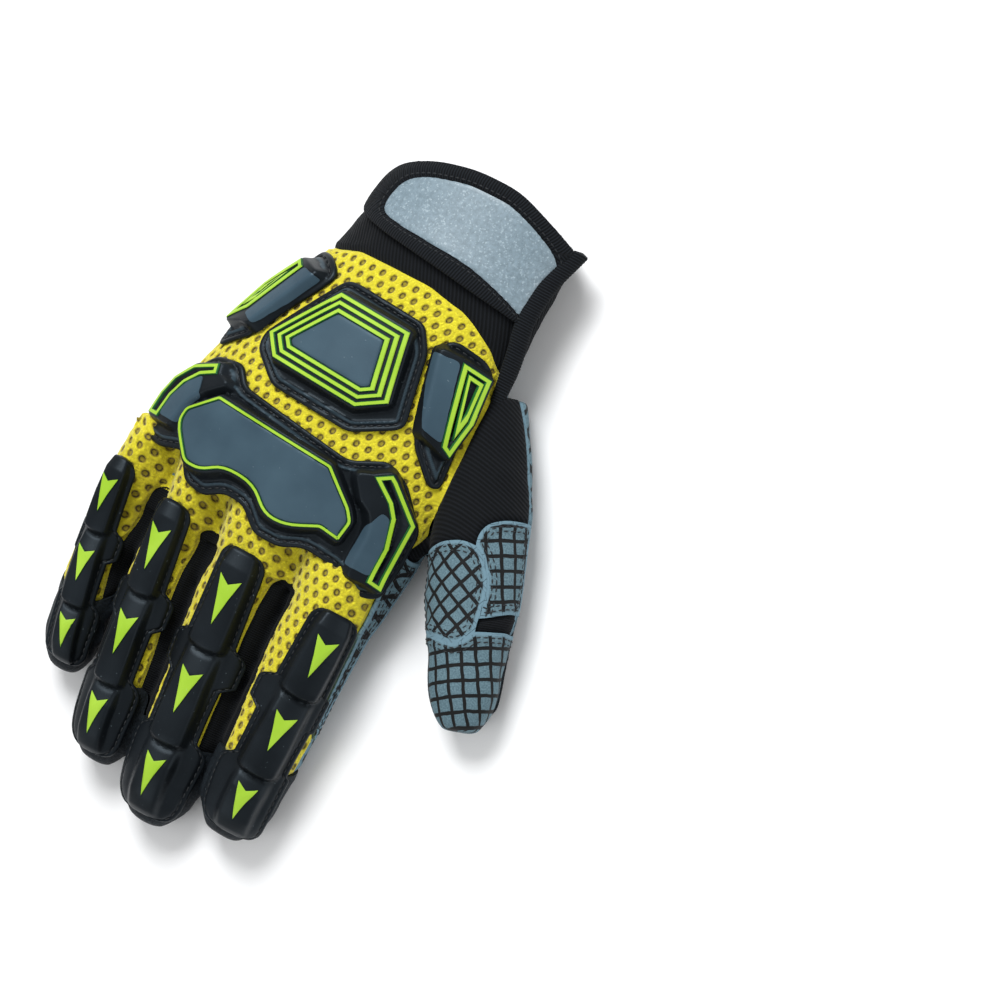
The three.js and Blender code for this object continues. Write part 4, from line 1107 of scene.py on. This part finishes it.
def inset_run(outer, loop, distance, lift):
    """A run beside a panel's edge, laid on its surface."""
    run, normals = loop
    run = np.concatenate([run, run[:1]])
    normals = np.concatenate([normals, normals[:1]])
    for _ in range(6):
        run[1:-1] = run[1:-1] * 0.5 + (run[:-2] + run[2:]) * 0.25
    ahead = np.gradient(run, axis=0)
    side = np.cross(normals, ahead)
    side /= np.linalg.norm(side, axis=1)[:, None] + 1e-9
    best = None
    for sign in (1, -1):
        trial, up, missed = [], [], 0
        for spot in run + side * distance * sign:
            place = Vector(((spot[0] - ORIGIN[0]) * MM, (-spot[1] - ORIGIN[1]) * MM, spot[2] * MM))
            found, normal, _, gap = outer.find_nearest(place)
            missed += gap
            flat = np.array(found) / MM + ORIGIN
            direction = np.array(normal) * (1, -1, 1)
            trial.append(flat * (1, -1, 1) + direction * lift)
            up.append(direction)
        if best is None or missed < best[0]:
            best = (missed, np.array(trial), np.array(up))
    return best[1], best[2]


body, panels = make_panels()
SURFACES = {}
for panel_name, panel in panels.items():
    SURFACES[panel_name] = finish_panel(panel, panel_name)

for panel_name in ("thumb_web_patch", "thumb_side_patch", "thumb_tip", "index_strip"):
    outer_surface, edge_loops = SURFACES[panel_name]
    rows = [inset_run(outer_surface, edge_loops[0], off, -0.02) for off in (1.9, 3.6)]
    stitches("stitches_" + panel_name, rows, pitch=2.6, length=1.9, radius=0.30)

# Grip pads: the palm's own surface, thickened
PAD_NODES = ("palm_pad_heel", "palm_pad_fingers", "thumb_pad")
PAD_THICKNESS = 1.1
PAD_LIFT = 0.45                              # underside of a pad above the cloth
UNDERSIDE = 9                                # pads lie on what is lower than this
PAD_SEARCH = 0.0011                          # metres to the solid pad that a face belongs to


def make_pad(name):
    tree, _ = node_tree_of([name])
    centres = faces_of(body, "center")
    low = centres[:, 2] / MM < UNDERSIDE
    covered = np.zeros(len(centres), bool)
    for i in np.nonzero(low)[0]:
        found = tree.find_nearest(centres[i], PAD_SEARCH)
        covered[i] = found[0] is not None
    pad = copied(body)
    pad.name = "grip_" + name
    pad.data.materials.clear()
    drop_faces(pad, ~covered)
    straighten_rim(pad)
    points, normals = points_of(pad), normals_of(pad)
    moved = points + normals * PAD_LIFT
    moved[:, 2] = np.minimum(moved[:, 2], np.where(points[:, 2] < 2.2, 1.2, 99))
    move_points(pad, moved)
    modified(pad, "SOLIDIFY", thickness=PAD_THICKNESS * MM, offset=1)
    held = points_of(pad)
    held[:, 2] = np.maximum(held[:, 2], 0.05)
    move_points(pad, held)
    smooth_shaded(pad, 50)
    return finish(pad, GRIP, "black_grip", name)


def straighten_rim(piece, rounds=14):
    """A piece's stepped edge is drawn into a smooth one."""
    rim = rim_of(piece)
    plain = np.bincount(rim.ravel(), minlength=len(piece.data.vertices)) == 2
    points = points_of(piece)
    for _ in range(rounds):
        points[plain] = points[plain] * 0.5 + neighbour_sums(points, rim)[plain] * 0.25
    move_points(piece, points)


for pad_name in PAD_NODES:
    make_pad(pad_name)

# Hand guards
GUARD_CELL = 0.55
FLANGE_LAYERS = [(-0.3, SEAT - 0.3), (0, SEAT), (0, FLANGE - 0.5), (-0.5, FLANGE)]
BLOCK_LAYERS = [(2.9, FLANGE - 0.8), (0.9, PLATEAU - 0.3), (0.5, PLATEAU)]
STITCH_INSET = 2.1
LINE_WIDTH = 1.7
LINE_TOP = PLATEAU + 0.6
FACE_TOP = PLATEAU + 0.35


def sewn_line(outline, foot, head):
    """A closed line of stitches on the hand: its points at one lift, and the way from them to another."""
    run = divided(outline, 1.5)(outline)
    run = np.concatenate([run, run[:1]])
    low = HAND_TUBE.place(np.column_stack([run, np.full(len(run), foot)]))
    high = HAND_TUBE.place(np.column_stack([run, np.full(len(run), head)]))
    return low, high - low


def guard(name, flange, blocks, slots=(), skins=()):
    """A moulded guard: a stitched flange with raised blocks, laid over the hand."""
    edge = rounded(sized(flange), 3.0)
    solids = [layered(name, edge, FLANGE_LAYERS)]
    for block in blocks:
        outline = block if isinstance(block, np.ndarray) else rounded(sized(block), 1.0, 3)
        solids.append(layered(name, outline, BLOCK_LAYERS))
    piece = fused(solids, GUARD_CELL, 2)
    points = points_of(piece)
    distance = distance_to(points[:, :2], edge)
    on_flange = (points[:, 2] > SEAT + 0.6) * (1 - step_up(FLANGE + 0.6, FLANGE + 1.6, points[:, 2]))
    groove = -0.6 * np.exp(-((distance - STITCH_INSET) / 0.45) ** 2)
    ridge = 0.7 * np.clip(1 - np.abs(distance - STITCH_INSET - 1.5) / 0.8, 0, 1)
    points[:, 2] += on_flange * (groove + ridge)
    for slot in slots:
        hollow = inside(points[:, :2], sized(slot)) & (points[:, 2] > FLANGE)
        depth = step_up(0, 1.2, distance_to(points[:, :2], sized(slot)))
        points[:, 2] -= hollow * depth * 1.5
    move_points(piece, points)
    for node_name, outline in skins:
        slate_skin(piece, node_name, outline)
    piece.name = "rubber_" + name
    # The band along the flange's ridge, which the rubber's shader paints slate as a painted highlight
    keep_values(piece, "lip", on_flange * np.clip(1 - np.abs(distance - STITCH_INSET - 1.3) / 0.7, 0, 1))
    laid(piece, HAND_TUBE)
    smooth_shaded(piece, 35)
    finish(piece, BLACK_RUBBER, "black_rubber", name)
    run = sewn_line(outset(edge, -STITCH_INSET), FLANGE - 0.35, FLANGE + 0.65)
    stitches("stitches_" + name, [run], pitch=2.9, length=2.1, radius=0.36)
    return piece


def slate_skin(piece, node_name, outline):
    """A thin slate inlay that follows the top and the slope of a block."""
    skin = copied(piece)
    skin.name = "inlay_" + node_name
    middle = (faces_of(skin, "center") / MM + ORIGIN) * (1, -1, 1)
    covered = inside(middle[:, :2], sized(outline)) & (middle[:, 2] > FLANGE + 0.9)
    covered &= faces_of(skin, "normal")[:, 2] > 0.1
    drop_faces(skin, ~covered)
    straighten_rim(skin, 8)
    modified(skin, "SOLIDIFY", thickness=0.55 * MM, offset=0.2)
    laid(skin, HAND_TUBE)
    smooth_shaded(skin, 35)
    finish(skin, SLATE_RUBBER, "slate_rubber", node_name)


def strip(name, outer, inner, tube, top=LINE_TOP, foot=PLATEAU - 0.6):
    """A raised coloured line between two outlines with the same corners."""
    spread = divided(outer, 2.0)
    profile = [(0.0, foot), (0.0, top - 0.25), (0.16, top), (0.84, top), (1.0, top - 0.25), (1.0, foot)]
    loops = []
    for share, lift in profile:
        flat = spread(outer * (1 - share) + inner * share)
        loops.append(np.column_stack([flat, np.full(len(flat), lift)]))
    piece = ring_of(name, np.array(loops))
    move_points(piece, tube.place(points_of(piece)))
    in_edit(piece, outward)
    paint_shaded_sides(piece, 0.86)
    smooth_shaded(piece, 30)
    return piece


def paint_shaded_sides(piece, limit=0.35):
    """The walls of a lime inlay get a darker green copy of the lime: painted shade on its steep faces."""
    piece.data.materials.clear()
    piece.data.materials.append(LIME_RUBBER)
    piece.data.materials.append(LIME_WALL_SHADE)
    across = (faces_of(piece, "center")[:, 0] / MM + ORIGIN[0]) / (HAND_WIDTH * 0.62)
    up = np.stack([across, 0 * across, np.sqrt(np.clip(1 - across ** 2, 0.04, 1))], 1)
    steep = (faces_of(piece, "normal") * up).sum(1) < limit
    piece.data.polygons.foreach_set("material_index", steep.astype(np.int32))


def line(name, outline, width=LINE_WIDTH):
    outer = sized(outline) if isinstance(outline, list) else outline
    piece = strip("inlay_" + name, outer, outset(outer, -width), HAND_TUBE)
    return finish(piece, None, "lime_rubber", name)


def plateau(name, outline, top=FACE_TOP):
    flat = layered("inlay_" + name, rounded(outline, 0.8, 2),
                   [(0, PLATEAU - 0.8), (0, top - 0.2), (-0.3, top)])
    piece = laid(fused([flat], GUARD_CELL, 2), HAND_TUBE)
    smooth_shaded(piece, 35)
    return finish(piece, SLATE_RUBBER, "slate_rubber", name)


def inner_of(outline):
    return (outset(sized(outline), -LINE_WIDTH) / (HAND_WIDTH, GLOVE_LENGTH)).tolist()


KNUCKLE_ROUND = [0.8, 0.8, 1.5, 1.5, 0.8, 0.8, 5, 6, 6, 6, 5, 2.5, 6, 1.5]
KNUCKLE_EDGE = rounded(sized(KNUCKLE_CENTRE), np.array(KNUCKLE_ROUND, float))
guard("knuckle_guard", KNUCKLE_FLANGE,
      [KNUCKLE_EDGE, THUMB_WING["body"], THUMB_WING["loop"], OUTER_WING["body"], OUTER_WING["loop"]],
      [inner_of(THUMB_WING["loop"]), inner_of(OUTER_WING["loop"])],
      [("wing_face_thumb_side", THUMB_WING["skin"]), ("wing_face_outer_side", OUTER_WING["skin"])])
line("knuckle_line", KNUCKLE_EDGE, 1.3)
plateau("knuckle_face", outset(KNUCKLE_EDGE, -1.4))
line("wing_line_thumb_side", THUMB_WING["loop"])
line("wing_line_outer_side", OUTER_WING["loop"])

guard("hand_guard", HAND_GUARD, [HAND_BLOCK])
RING_PITCH = LINE_WIDTH + 0.9
for i, name in enumerate(("outer", "middle", "inner")):
    line("hand_line_" + name, outset(sized(HAND_BLOCK), -i * RING_PITCH))
plateau("hand_face", outset(sized(HAND_BLOCK), -3 * RING_PITCH + 0.7))


def wedge(name, flange, block, loop, inner, core, face):
    guard(name + "_guard", flange, [block], [inner_of(loop)], [(name + "_face", face)])
    line(name + "_line_outer", loop)
    piece = strip("inlay_" + name + "_line_inner", sized(inner), sized(core), HAND_TUBE)
    finish(piece, None, "lime_rubber", name + "_line_inner")


wedge("thumb_wedge", THUMB_WEDGE, THUMB_WEDGE_BLOCK, THUMB_WEDGE_LOOP, THUMB_WEDGE_INNER,
      THUMB_WEDGE_CORE, THUMB_WEDGE_FACE)
wedge("outer_wedge", OUTER_WEDGE, OUTER_WEDGE_BLOCK, OUTER_WEDGE_LOOP, OUTER_WEDGE_INNER,
      OUTER_WEDGE_CORE, OUTER_WEDGE_FACE)

# Finger guards: start and end along the glove, and how far the crest leans round the finger
FINGER_GUARDS = {"index": (0.137, 0.474, 0.26, 0.14), "middle": (0.122, 0.511, 0.08, 0.03),
                 "ring": (0.108, 0.473, 0.03, 0.02), "little": (0.089, 0.384, -0.06, 0.12)}
GUARD_SHAPE = table("along flange crest height", [
    [0.00, 0.25, 0.14, 0.46],
    [0.012, 0.25, 0.15, 0.66],
    [0.07, 0.26, 0.18, 0.92],
    [0.20, 0.27, 0.19, 1.02],
    [0.33, 0.28, 0.19, 1.03],
    [0.352, 0.42, 0.19, 1.00],
    [0.368, 0.46, 0.185, 0.48],
    [0.388, 0.46, 0.18, 0.64],
    [0.455, 0.45, 0.18, 0.90],
    [0.490, 0.30, 0.18, 0.97],
    [0.60, 0.29, 0.19, 1.03],
    [0.69, 0.29, 0.19, 1.03],
    [0.712, 0.40, 0.19, 1.00],
    [0.728, 0.44, 0.185, 0.48],
    [0.748, 0.45, 0.18, 0.64],
    [0.80, 0.44, 0.18, 0.86],
    [0.93, 0.39, 0.17, 0.84],
    [0.985, 0.32, 0.15, 0.66],
    [1.00, 0.28, 0.13, 0.44]])
ARROWS = {"root": (0.105, 0.180, 0.108), "joint": (0.455, 0.170, 0.108), "tip": (0.785, 0.155, 0.102)}
CREASE_BOW = 0.020
ARROW_NOTCH = 0.16
END_ROUND = 5.0
FINGER_STITCH_INSET = 1.9
GUARD_ROWS = 170
TOP_POINTS, UNDER_POINTS = 52, 12    # of each row: over the guard and back under it
NEITHER = 2
PLAIN_SIDE = {"index": 1, "middle": NEITHER, "ring": NEITHER, "little": -1}  # thumb side 1, outer side -1
PLAIN_FLANGE = 0.34                  # share of the finger's width that the flange keeps on its plain side


class FingerGuard:
    """The height and place of a finger guard over its finger."""

    def __init__(self, name):
        first, last, self.lean_start, self.lean_end = FINGER_GUARDS[name]
        self.start, self.end = first * GLOVE_LENGTH, last * GLOVE_LENGTH
        self.width = FINGERS[name]["wide"] * HAND_WIDTH
        self.tube = FINGER_TUBES[name]
        self.plain_side = PLAIN_SIDE[name]

    def share(self, along):
        return (along - self.start) / (self.end - self.start)

    def shape(self, column, share):
        return np.interp(share, GUARD_SHAPE["along"], GUARD_SHAPE[column])

    def edge(self, along, across):
        """How far the guard reaches on the side that the sign of across gives."""
        wide = self.shape("flange", self.share(along))
        plain = np.sign(across) == self.plain_side
        half = np.where(plain, np.minimum(wide, PLAIN_FLANGE), wide) * self.width
        from_end = np.minimum(along - self.start, self.end - along)
        corner = np.clip(1 - from_end / END_ROUND, 0, 1)
        return half - (1 - np.sqrt(1 - corner ** 2)) * END_ROUND

    def height(self, across, along):
        share = self.share(along)
        crest = self.shape("crest", share) * self.width
        bow = CREASE_BOW * (1 - np.clip(across / crest, -1, 1) ** 2)
        bowed = share - bow * (share > 0.2) * (share < 0.9)
        high = SEAT + self.shape("height", bowed) * CREST
        flat = step_up(0.62, 1.18, np.abs(across) / crest)
        crown = 0.35 * (np.clip(across / crest, -1, 1)) ** 2
        top = (high - crown) * (1 - flat) + FLANGE * flat
        beside = self.edge(along, across) - np.abs(across)
        groove = -0.5 * np.exp(-((beside - FINGER_STITCH_INSET) / 0.45) ** 2)
        return top + groove * flat - 0.5 * (1 - step_up(0, 0.7, beside))

    def place(self, points):
        across, along, lift = points.T
        share = np.clip(self.share(along), 0, 1)
        lean = (self.lean_start + (self.lean_end - self.lean_start) * share) * self.width
        return self.tube.place(np.stack([across + lean, along, lift], 1))


def finger_guard(name):
    guard_form = FingerGuard(name)
    along = np.linspace(guard_form.start, guard_form.end, GUARD_ROWS)
    across = np.concatenate([np.linspace(1, -1, TOP_POINTS), np.linspace(-0.96, 0.96, UNDER_POINTS)])
    top = np.arange(TOP_POINTS + UNDER_POINTS) < TOP_POINTS
    loops = []
    for s in along:
        s_row = np.full(len(across), s)
        a = across * guard_form.edge(s_row, across)
        lift = np.where(top, guard_form.height(a, s_row), SEAT - 0.2)
        loops.append(guard_form.place(np.stack([a, s_row, lift], 1)))
    piece = solid_of("rubber_finger_guard_" + name, np.array(loops))
    smooth_shaded(piece, 40)
    finish(piece, BLACK_RUBBER, "black_rubber", "finger_guard_" + name)
    runs = []
    for side in (1, -1):
        s = np.linspace(guard_form.start + 2.2, guard_form.end - 2.2, 120)
        a = side * (guard_form.edge(s, side) - FINGER_STITCH_INSET)
        low = guard_form.place(np.stack([a, s, np.full(len(s), FLANGE - 0.3)], 1))
        high = guard_form.place(np.stack([a, s, np.full(len(s), FLANGE + 0.7)], 1))
        runs.append((low, high - low))
    stitches("stitches_finger_guard_" + name, runs, pitch=2.7, length=2.0, radius=0.33)
    for part, (start, length, half) in ARROWS.items():
        arrow(name, part, guard_form, start, length, half)


def arrow(name, part, guard_form, start, length, half):
    span = guard_form.end - guard_form.start
    tail, tip = guard_form.start + start * span, guard_form.start + (start + length) * span
    half = half * FINGERS[name]["narrow"] * HAND_WIDTH
    notch = tail + (tip - tail) * ARROW_NOTCH
    waist = tail + (tip - tail) * 0.45
    corners = np.array([[half, tail], [0, notch], [-half, tail], [-half * 0.5, waist], [0, tip],
                        [half * 0.5, waist]])
    flat = divided(corners, 1.2)(corners)
    loops = []
    for grow, lift in ((0, -0.6), (0, 0.35), (-0.18, 0.5), (-0.8, 0.55)):
        moved = flat + (flat.mean(0) - flat) * (-grow / 6)
        height = guard_form.height(moved[:, 0], moved[:, 1])
        loops.append(guard_form.place(np.column_stack([moved, height + lift])))
    piece = solid_of("inlay_arrow_" + name + "_" + part, np.array(loops))
    paint_shaded_sides(piece)
    smooth_shaded(piece, 30)
    finish(piece, None, "lime_rubber", "arrow_" + name + "_" + part)


for finger_name in FINGERS:
    finger_guard(finger_name)

# Closing strap, its bound rim and reflective face, and the rolled edge of the cuff slit
STRAP = [[-0.300, -0.368], [-0.318, -0.395], [-0.306, -0.428], [-0.262, -0.453], [-0.155, -0.475],
         [-0.02, -0.488], [0.12, -0.488], [0.25, -0.466], [0.345, -0.449], [0.328, -0.42],
         [0.315, -0.39], [0.325, -0.327], [0.19, -0.334], [0.05, -0.343], [-0.18, -0.356]]
STRAP_PANEL = [[-0.222, -0.378], [-0.236, -0.402], [-0.218, -0.434], [-0.151, -0.452], [-0.02, -0.467],
               [0.112, -0.468], [0.21, -0.453], [0.290, -0.436], [0.322, -0.4215], [0.305, -0.388],
               [0.313, -0.337], [0.20, -0.354], [0.11, -0.364], [-0.13, -0.371]]
SLIT = [[0.362, -0.455], [0.338, -0.42], [0.325, -0.39], [0.332, -0.332], [0.390, -0.273],
        [0.420, -0.234], [0.432, -0.215]]
STRAP_TOP = SEAT + 2.1


def flat_uv(piece):
    points = points_of(piece)
    keep_uv(piece, points[:, 0], points[:, 1])


def make_strap():
    edge = rounded(sized(STRAP), np.where(sized(STRAP)[:, 0] > 0.29 * HAND_WIDTH, 0.8, 6))
    window = rounded(sized(STRAP_PANEL), np.where(sized(STRAP_PANEL)[:, 0] > 0.296 * HAND_WIDTH, 0.6, 5))
    base = fused([layered("strap_band", edge, [(-0.4, SEAT), (0, SEAT + 0.5), (0, STRAP_TOP - 0.4),
                                               (-0.4, STRAP_TOP)])], 0.8, 2)
    flat_uv(base)
    laid(base, HAND_TUBE)
    smooth_shaded(base)
    finish(base, CUFF_KNIT, "black_knit", "strap")
    rim = fused([layered("strap_binding", edge, [(-0.2, STRAP_TOP - 1.4), (0.1, STRAP_TOP),
                                                 (-0.5, STRAP_TOP + 1.1)])], 0.6, 1)
    points = points_of(rim)
    from_edge, from_window = distance_to(points[:, :2], edge), distance_to(points[:, :2], window)
    within = inside(points[:, :2], window)
    roll = 1.0 * np.sqrt(np.clip(np.minimum(from_edge, from_window) / 3.0, 0, 1))
    top = points[:, 2] > STRAP_TOP
    points[:, 2] = np.where(top & ~within, STRAP_TOP + 0.3 + roll, points[:, 2])
    points[:, 2] = np.where(top & within, STRAP_TOP - 0.4, points[:, 2])
    keep_values(rim, "border", from_edge)
    move_points(rim, points)
    keep_uv(rim, *binding_way(points[:, :2], edge))
    laid(rim, HAND_TUBE)
    smooth_shaded(rim)
    finish(rim, TAPE_KNIT, "black_knit", "strap_rim")
    face = layered("reflective_face", outset(window, -0.35), [(0, STRAP_TOP - 1.0), (0, STRAP_TOP + 0.25),
                                                              (-0.3, STRAP_TOP + 0.4)])
    laid(fused([face], 0.9, 2), HAND_TUBE)
    smooth_shaded(face)
    finish(face, REFLECTIVE, "reflective_cloth", "strap_panel")
    run = sewn_line(outset(window, 0.9), STRAP_TOP + 0.85, STRAP_TOP + 1.85)
    stitches("stitches_strap", [run], pitch=2.4, length=1.7, radius=0.3)


def binding_way(points, edge):
    """The way along an outline and out from it, so that ribs cross the binding."""
    steps = np.linalg.norm(np.roll(edge, -1, 0) - edge, axis=1)
    starts = np.concatenate([[0], np.cumsum(steps)[:-1]])
    best, way = np.full(len(points), 1e9), np.zeros(len(points))
    for a, b, length, start in zip(edge, np.roll(edge, -1, 0), steps, starts):
        share = np.clip(((points - a) @ (b - a)) / (length ** 2 + 1e-12), 0, 1)
        off = np.linalg.norm(points - a - share[:, None] * (b - a), axis=1)
        nearer = off < best
        best, way = np.where(nearer, off, best), np.where(nearer, start + share * length, way)
    return way, best


def make_slit_binding():
    path = sized(SLIT)
    steps = np.concatenate([[0], np.cumsum(np.linalg.norm(np.diff(path, axis=0), axis=1))])
    way = np.linspace(0, steps[-1], 110)
    curve = np.stack([np.interp(way, steps, path[:, k]) for k in range(2)], 1)
    for _ in range(60):
        curve[1:-1] = curve[1:-1] * 0.5 + (curve[:-2] + curve[2:]) * 0.25
    turn = np.linspace(0, 2 * math.pi, 28, endpoint=False)
    loops, ways = [], []
    for i, (x, along) in enumerate(curve):
        share = i / (len(curve) - 1)
        half = 3.1 * (1 - 0.35 * step_up(0.75, 1, share))
        end = np.sqrt(np.clip(1 - np.clip(1 - min(share, 1 - share) / 0.02, 0, 1) ** 2, 0.02, 1))
        rib = 1 + 0.03 * math.sin(2 * math.pi * way[i] / 1.3)
        across = x + half * end * np.cos(turn) * rib
        lift = 2.7 + 2.3 * end * np.sin(turn) * rib
        loops.append(np.stack([across, np.full(len(turn), along), lift], 1))
        ways.append(np.full(len(turn), way[i]))
    piece = solid_of("rolled_binding", np.array(loops))
    points = points_of(piece)
    keep_uv(piece, points[:, 1], points[:, 0])
    laid(piece, HAND_TUBE)
    smooth_shaded(piece)
    finish(piece, TAPE_KNIT, "black_knit", "slit_binding")


make_strap()
make_slit_binding()
bpy.data.objects.remove(body)

# Floor, light and camera
bpy.ops.object.select_all(action="DESELECT")
bpy.ops.mesh.primitive_plane_add(size=6, location=(0, 0, 0))
floor = bpy.context.object
floor.name = "floor"
floor.data.materials.append(pale_floor())

VIEW_TILT = math.radians(22)      # the camera leans to the thumb side
VIEW_TURN = math.radians(28)      # and the glove lies turned in the frame
FRAME_WIDTH = 349.65              # millimetres across the picture
FRAME_CENTRE = (76.2, -26.66, 15)  # on the hand's axes
CAMERA_DISTANCE = 1.6

aim = Vector(((FRAME_CENTRE[0] - ORIGIN[0]) * MM, (-FRAME_CENTRE[1] - ORIGIN[1]) * MM, FRAME_CENTRE[2] * MM))
across_view = Vector((math.cos(VIEW_TILT), 0, -math.sin(VIEW_TILT)))
along_view = Vector((0, -1, 0))
right = across_view * math.cos(VIEW_TURN) - along_view * math.sin(VIEW_TURN)
upward = -across_view * math.sin(VIEW_TURN) - along_view * math.cos(VIEW_TURN)
back = right.cross(upward)
camera_data = bpy.data.cameras.new("camera")
camera_data.lens = camera_data.sensor_width * CAMERA_DISTANCE / (FRAME_WIDTH * MM)
camera = bpy.data.objects.new("camera", camera_data)
bpy.context.collection.objects.link(camera)
camera.matrix_world = Matrix.Translation(aim + back * CAMERA_DISTANCE) @ Matrix(
    (right, upward, back)).transposed().to_4x4()
bpy.context.scene.camera = camera


def soft_light(name, offset, size, power):
    data = bpy.data.lights.new(name, "AREA")
    data.size = size
    data.energy = power
    lamp = bpy.data.objects.new(name, data)
    bpy.context.collection.objects.link(lamp)
    place = aim + right * offset[0] + upward * offset[1] + back * offset[2]
    lamp.matrix_world = Matrix.Translation(place) @ (place - aim).to_track_quat("Z", "Y").to_matrix().to_4x4()


soft_light("key_light", (-0.35, 0.85, 0.75), 0.6, 15)
soft_light("fill_light", (0.9, -0.2, 0.9), 0.9, 4)
soft_light("low_light", (-0.9, -0.5, 0.7), 0.8, 3)
world = bpy.data.worlds.new("studio")
bpy.context.scene.world = world
world.use_nodes = True
world.node_tree.nodes["Background"].inputs["Color"].default_value = (1, 1, 1, 1)
world.node_tree.nodes["Background"].inputs["Strength"].default_value = 0.5
bpy.context.scene.view_settings.view_transform = "Standard"

# Sheets: the width and length that each was cut to, in millimetres, and its area in square millimetres,
# read off the panel's own flat layout round and along the glove
SEWN, OVERLAID = "stretched", "laid"
CUT_SHEETS = {
    "cloth_back_panel": (134, 188, 24000, SEWN), "cloth_palm_panel": (259, 181, 21600, SEWN),
    "cloth_cuff": (192, 61, 7900, SEWN), "cloth_stretch_panel": (43, 73, 1650, SEWN),
    "cloth_index_strip": (10, 73, 540, SEWN), "cloth_thumb_band": (19, 10, 120, SEWN),
    "cloth_thumb_side_patch": (22, 35, 650, SEWN), "cloth_thumb_web_patch": (35, 36, 1080, SEWN),
    "cloth_thumb_tip": (83, 35, 2370, SEWN), "cloth_finger_cap_index": (82, 35, 2240, SEWN),
    "cloth_finger_cap_middle": (83, 35, 2400, SEWN), "cloth_finger_cap_ring": (76, 36, 2170, SEWN),
    "cloth_finger_cap_little": (69, 42, 2030, SEWN), "cloth_side_strip_index_middle": (41, 73, 2010, SEWN),
    "cloth_side_strip_middle_ring": (49, 74, 1580, SEWN),
    "cloth_side_strip_ring_little": (48, 72, 1550, SEWN),
    "grip_palm_pad_fingers": (106, 59, 4270, OVERLAID), "grip_palm_pad_heel": (118, 85, 7640, OVERLAID),
    "grip_thumb_pad": (29, 47, 920, OVERLAID), "strap_band": (77, 37, 2440, OVERLAID),
    "strap_binding": (77, 38, 2560, OVERLAID), "reflective_face": (65, 29, 1460, OVERLAID),
    "rolled_binding": (16, 61, 490, "folded")}
for sheet_name, (width, length, cut_area, held) in CUT_SHEETS.items():
    rows = bpy.data.objects.get("stitches_" + sheet_name.removeprefix("cloth_"))
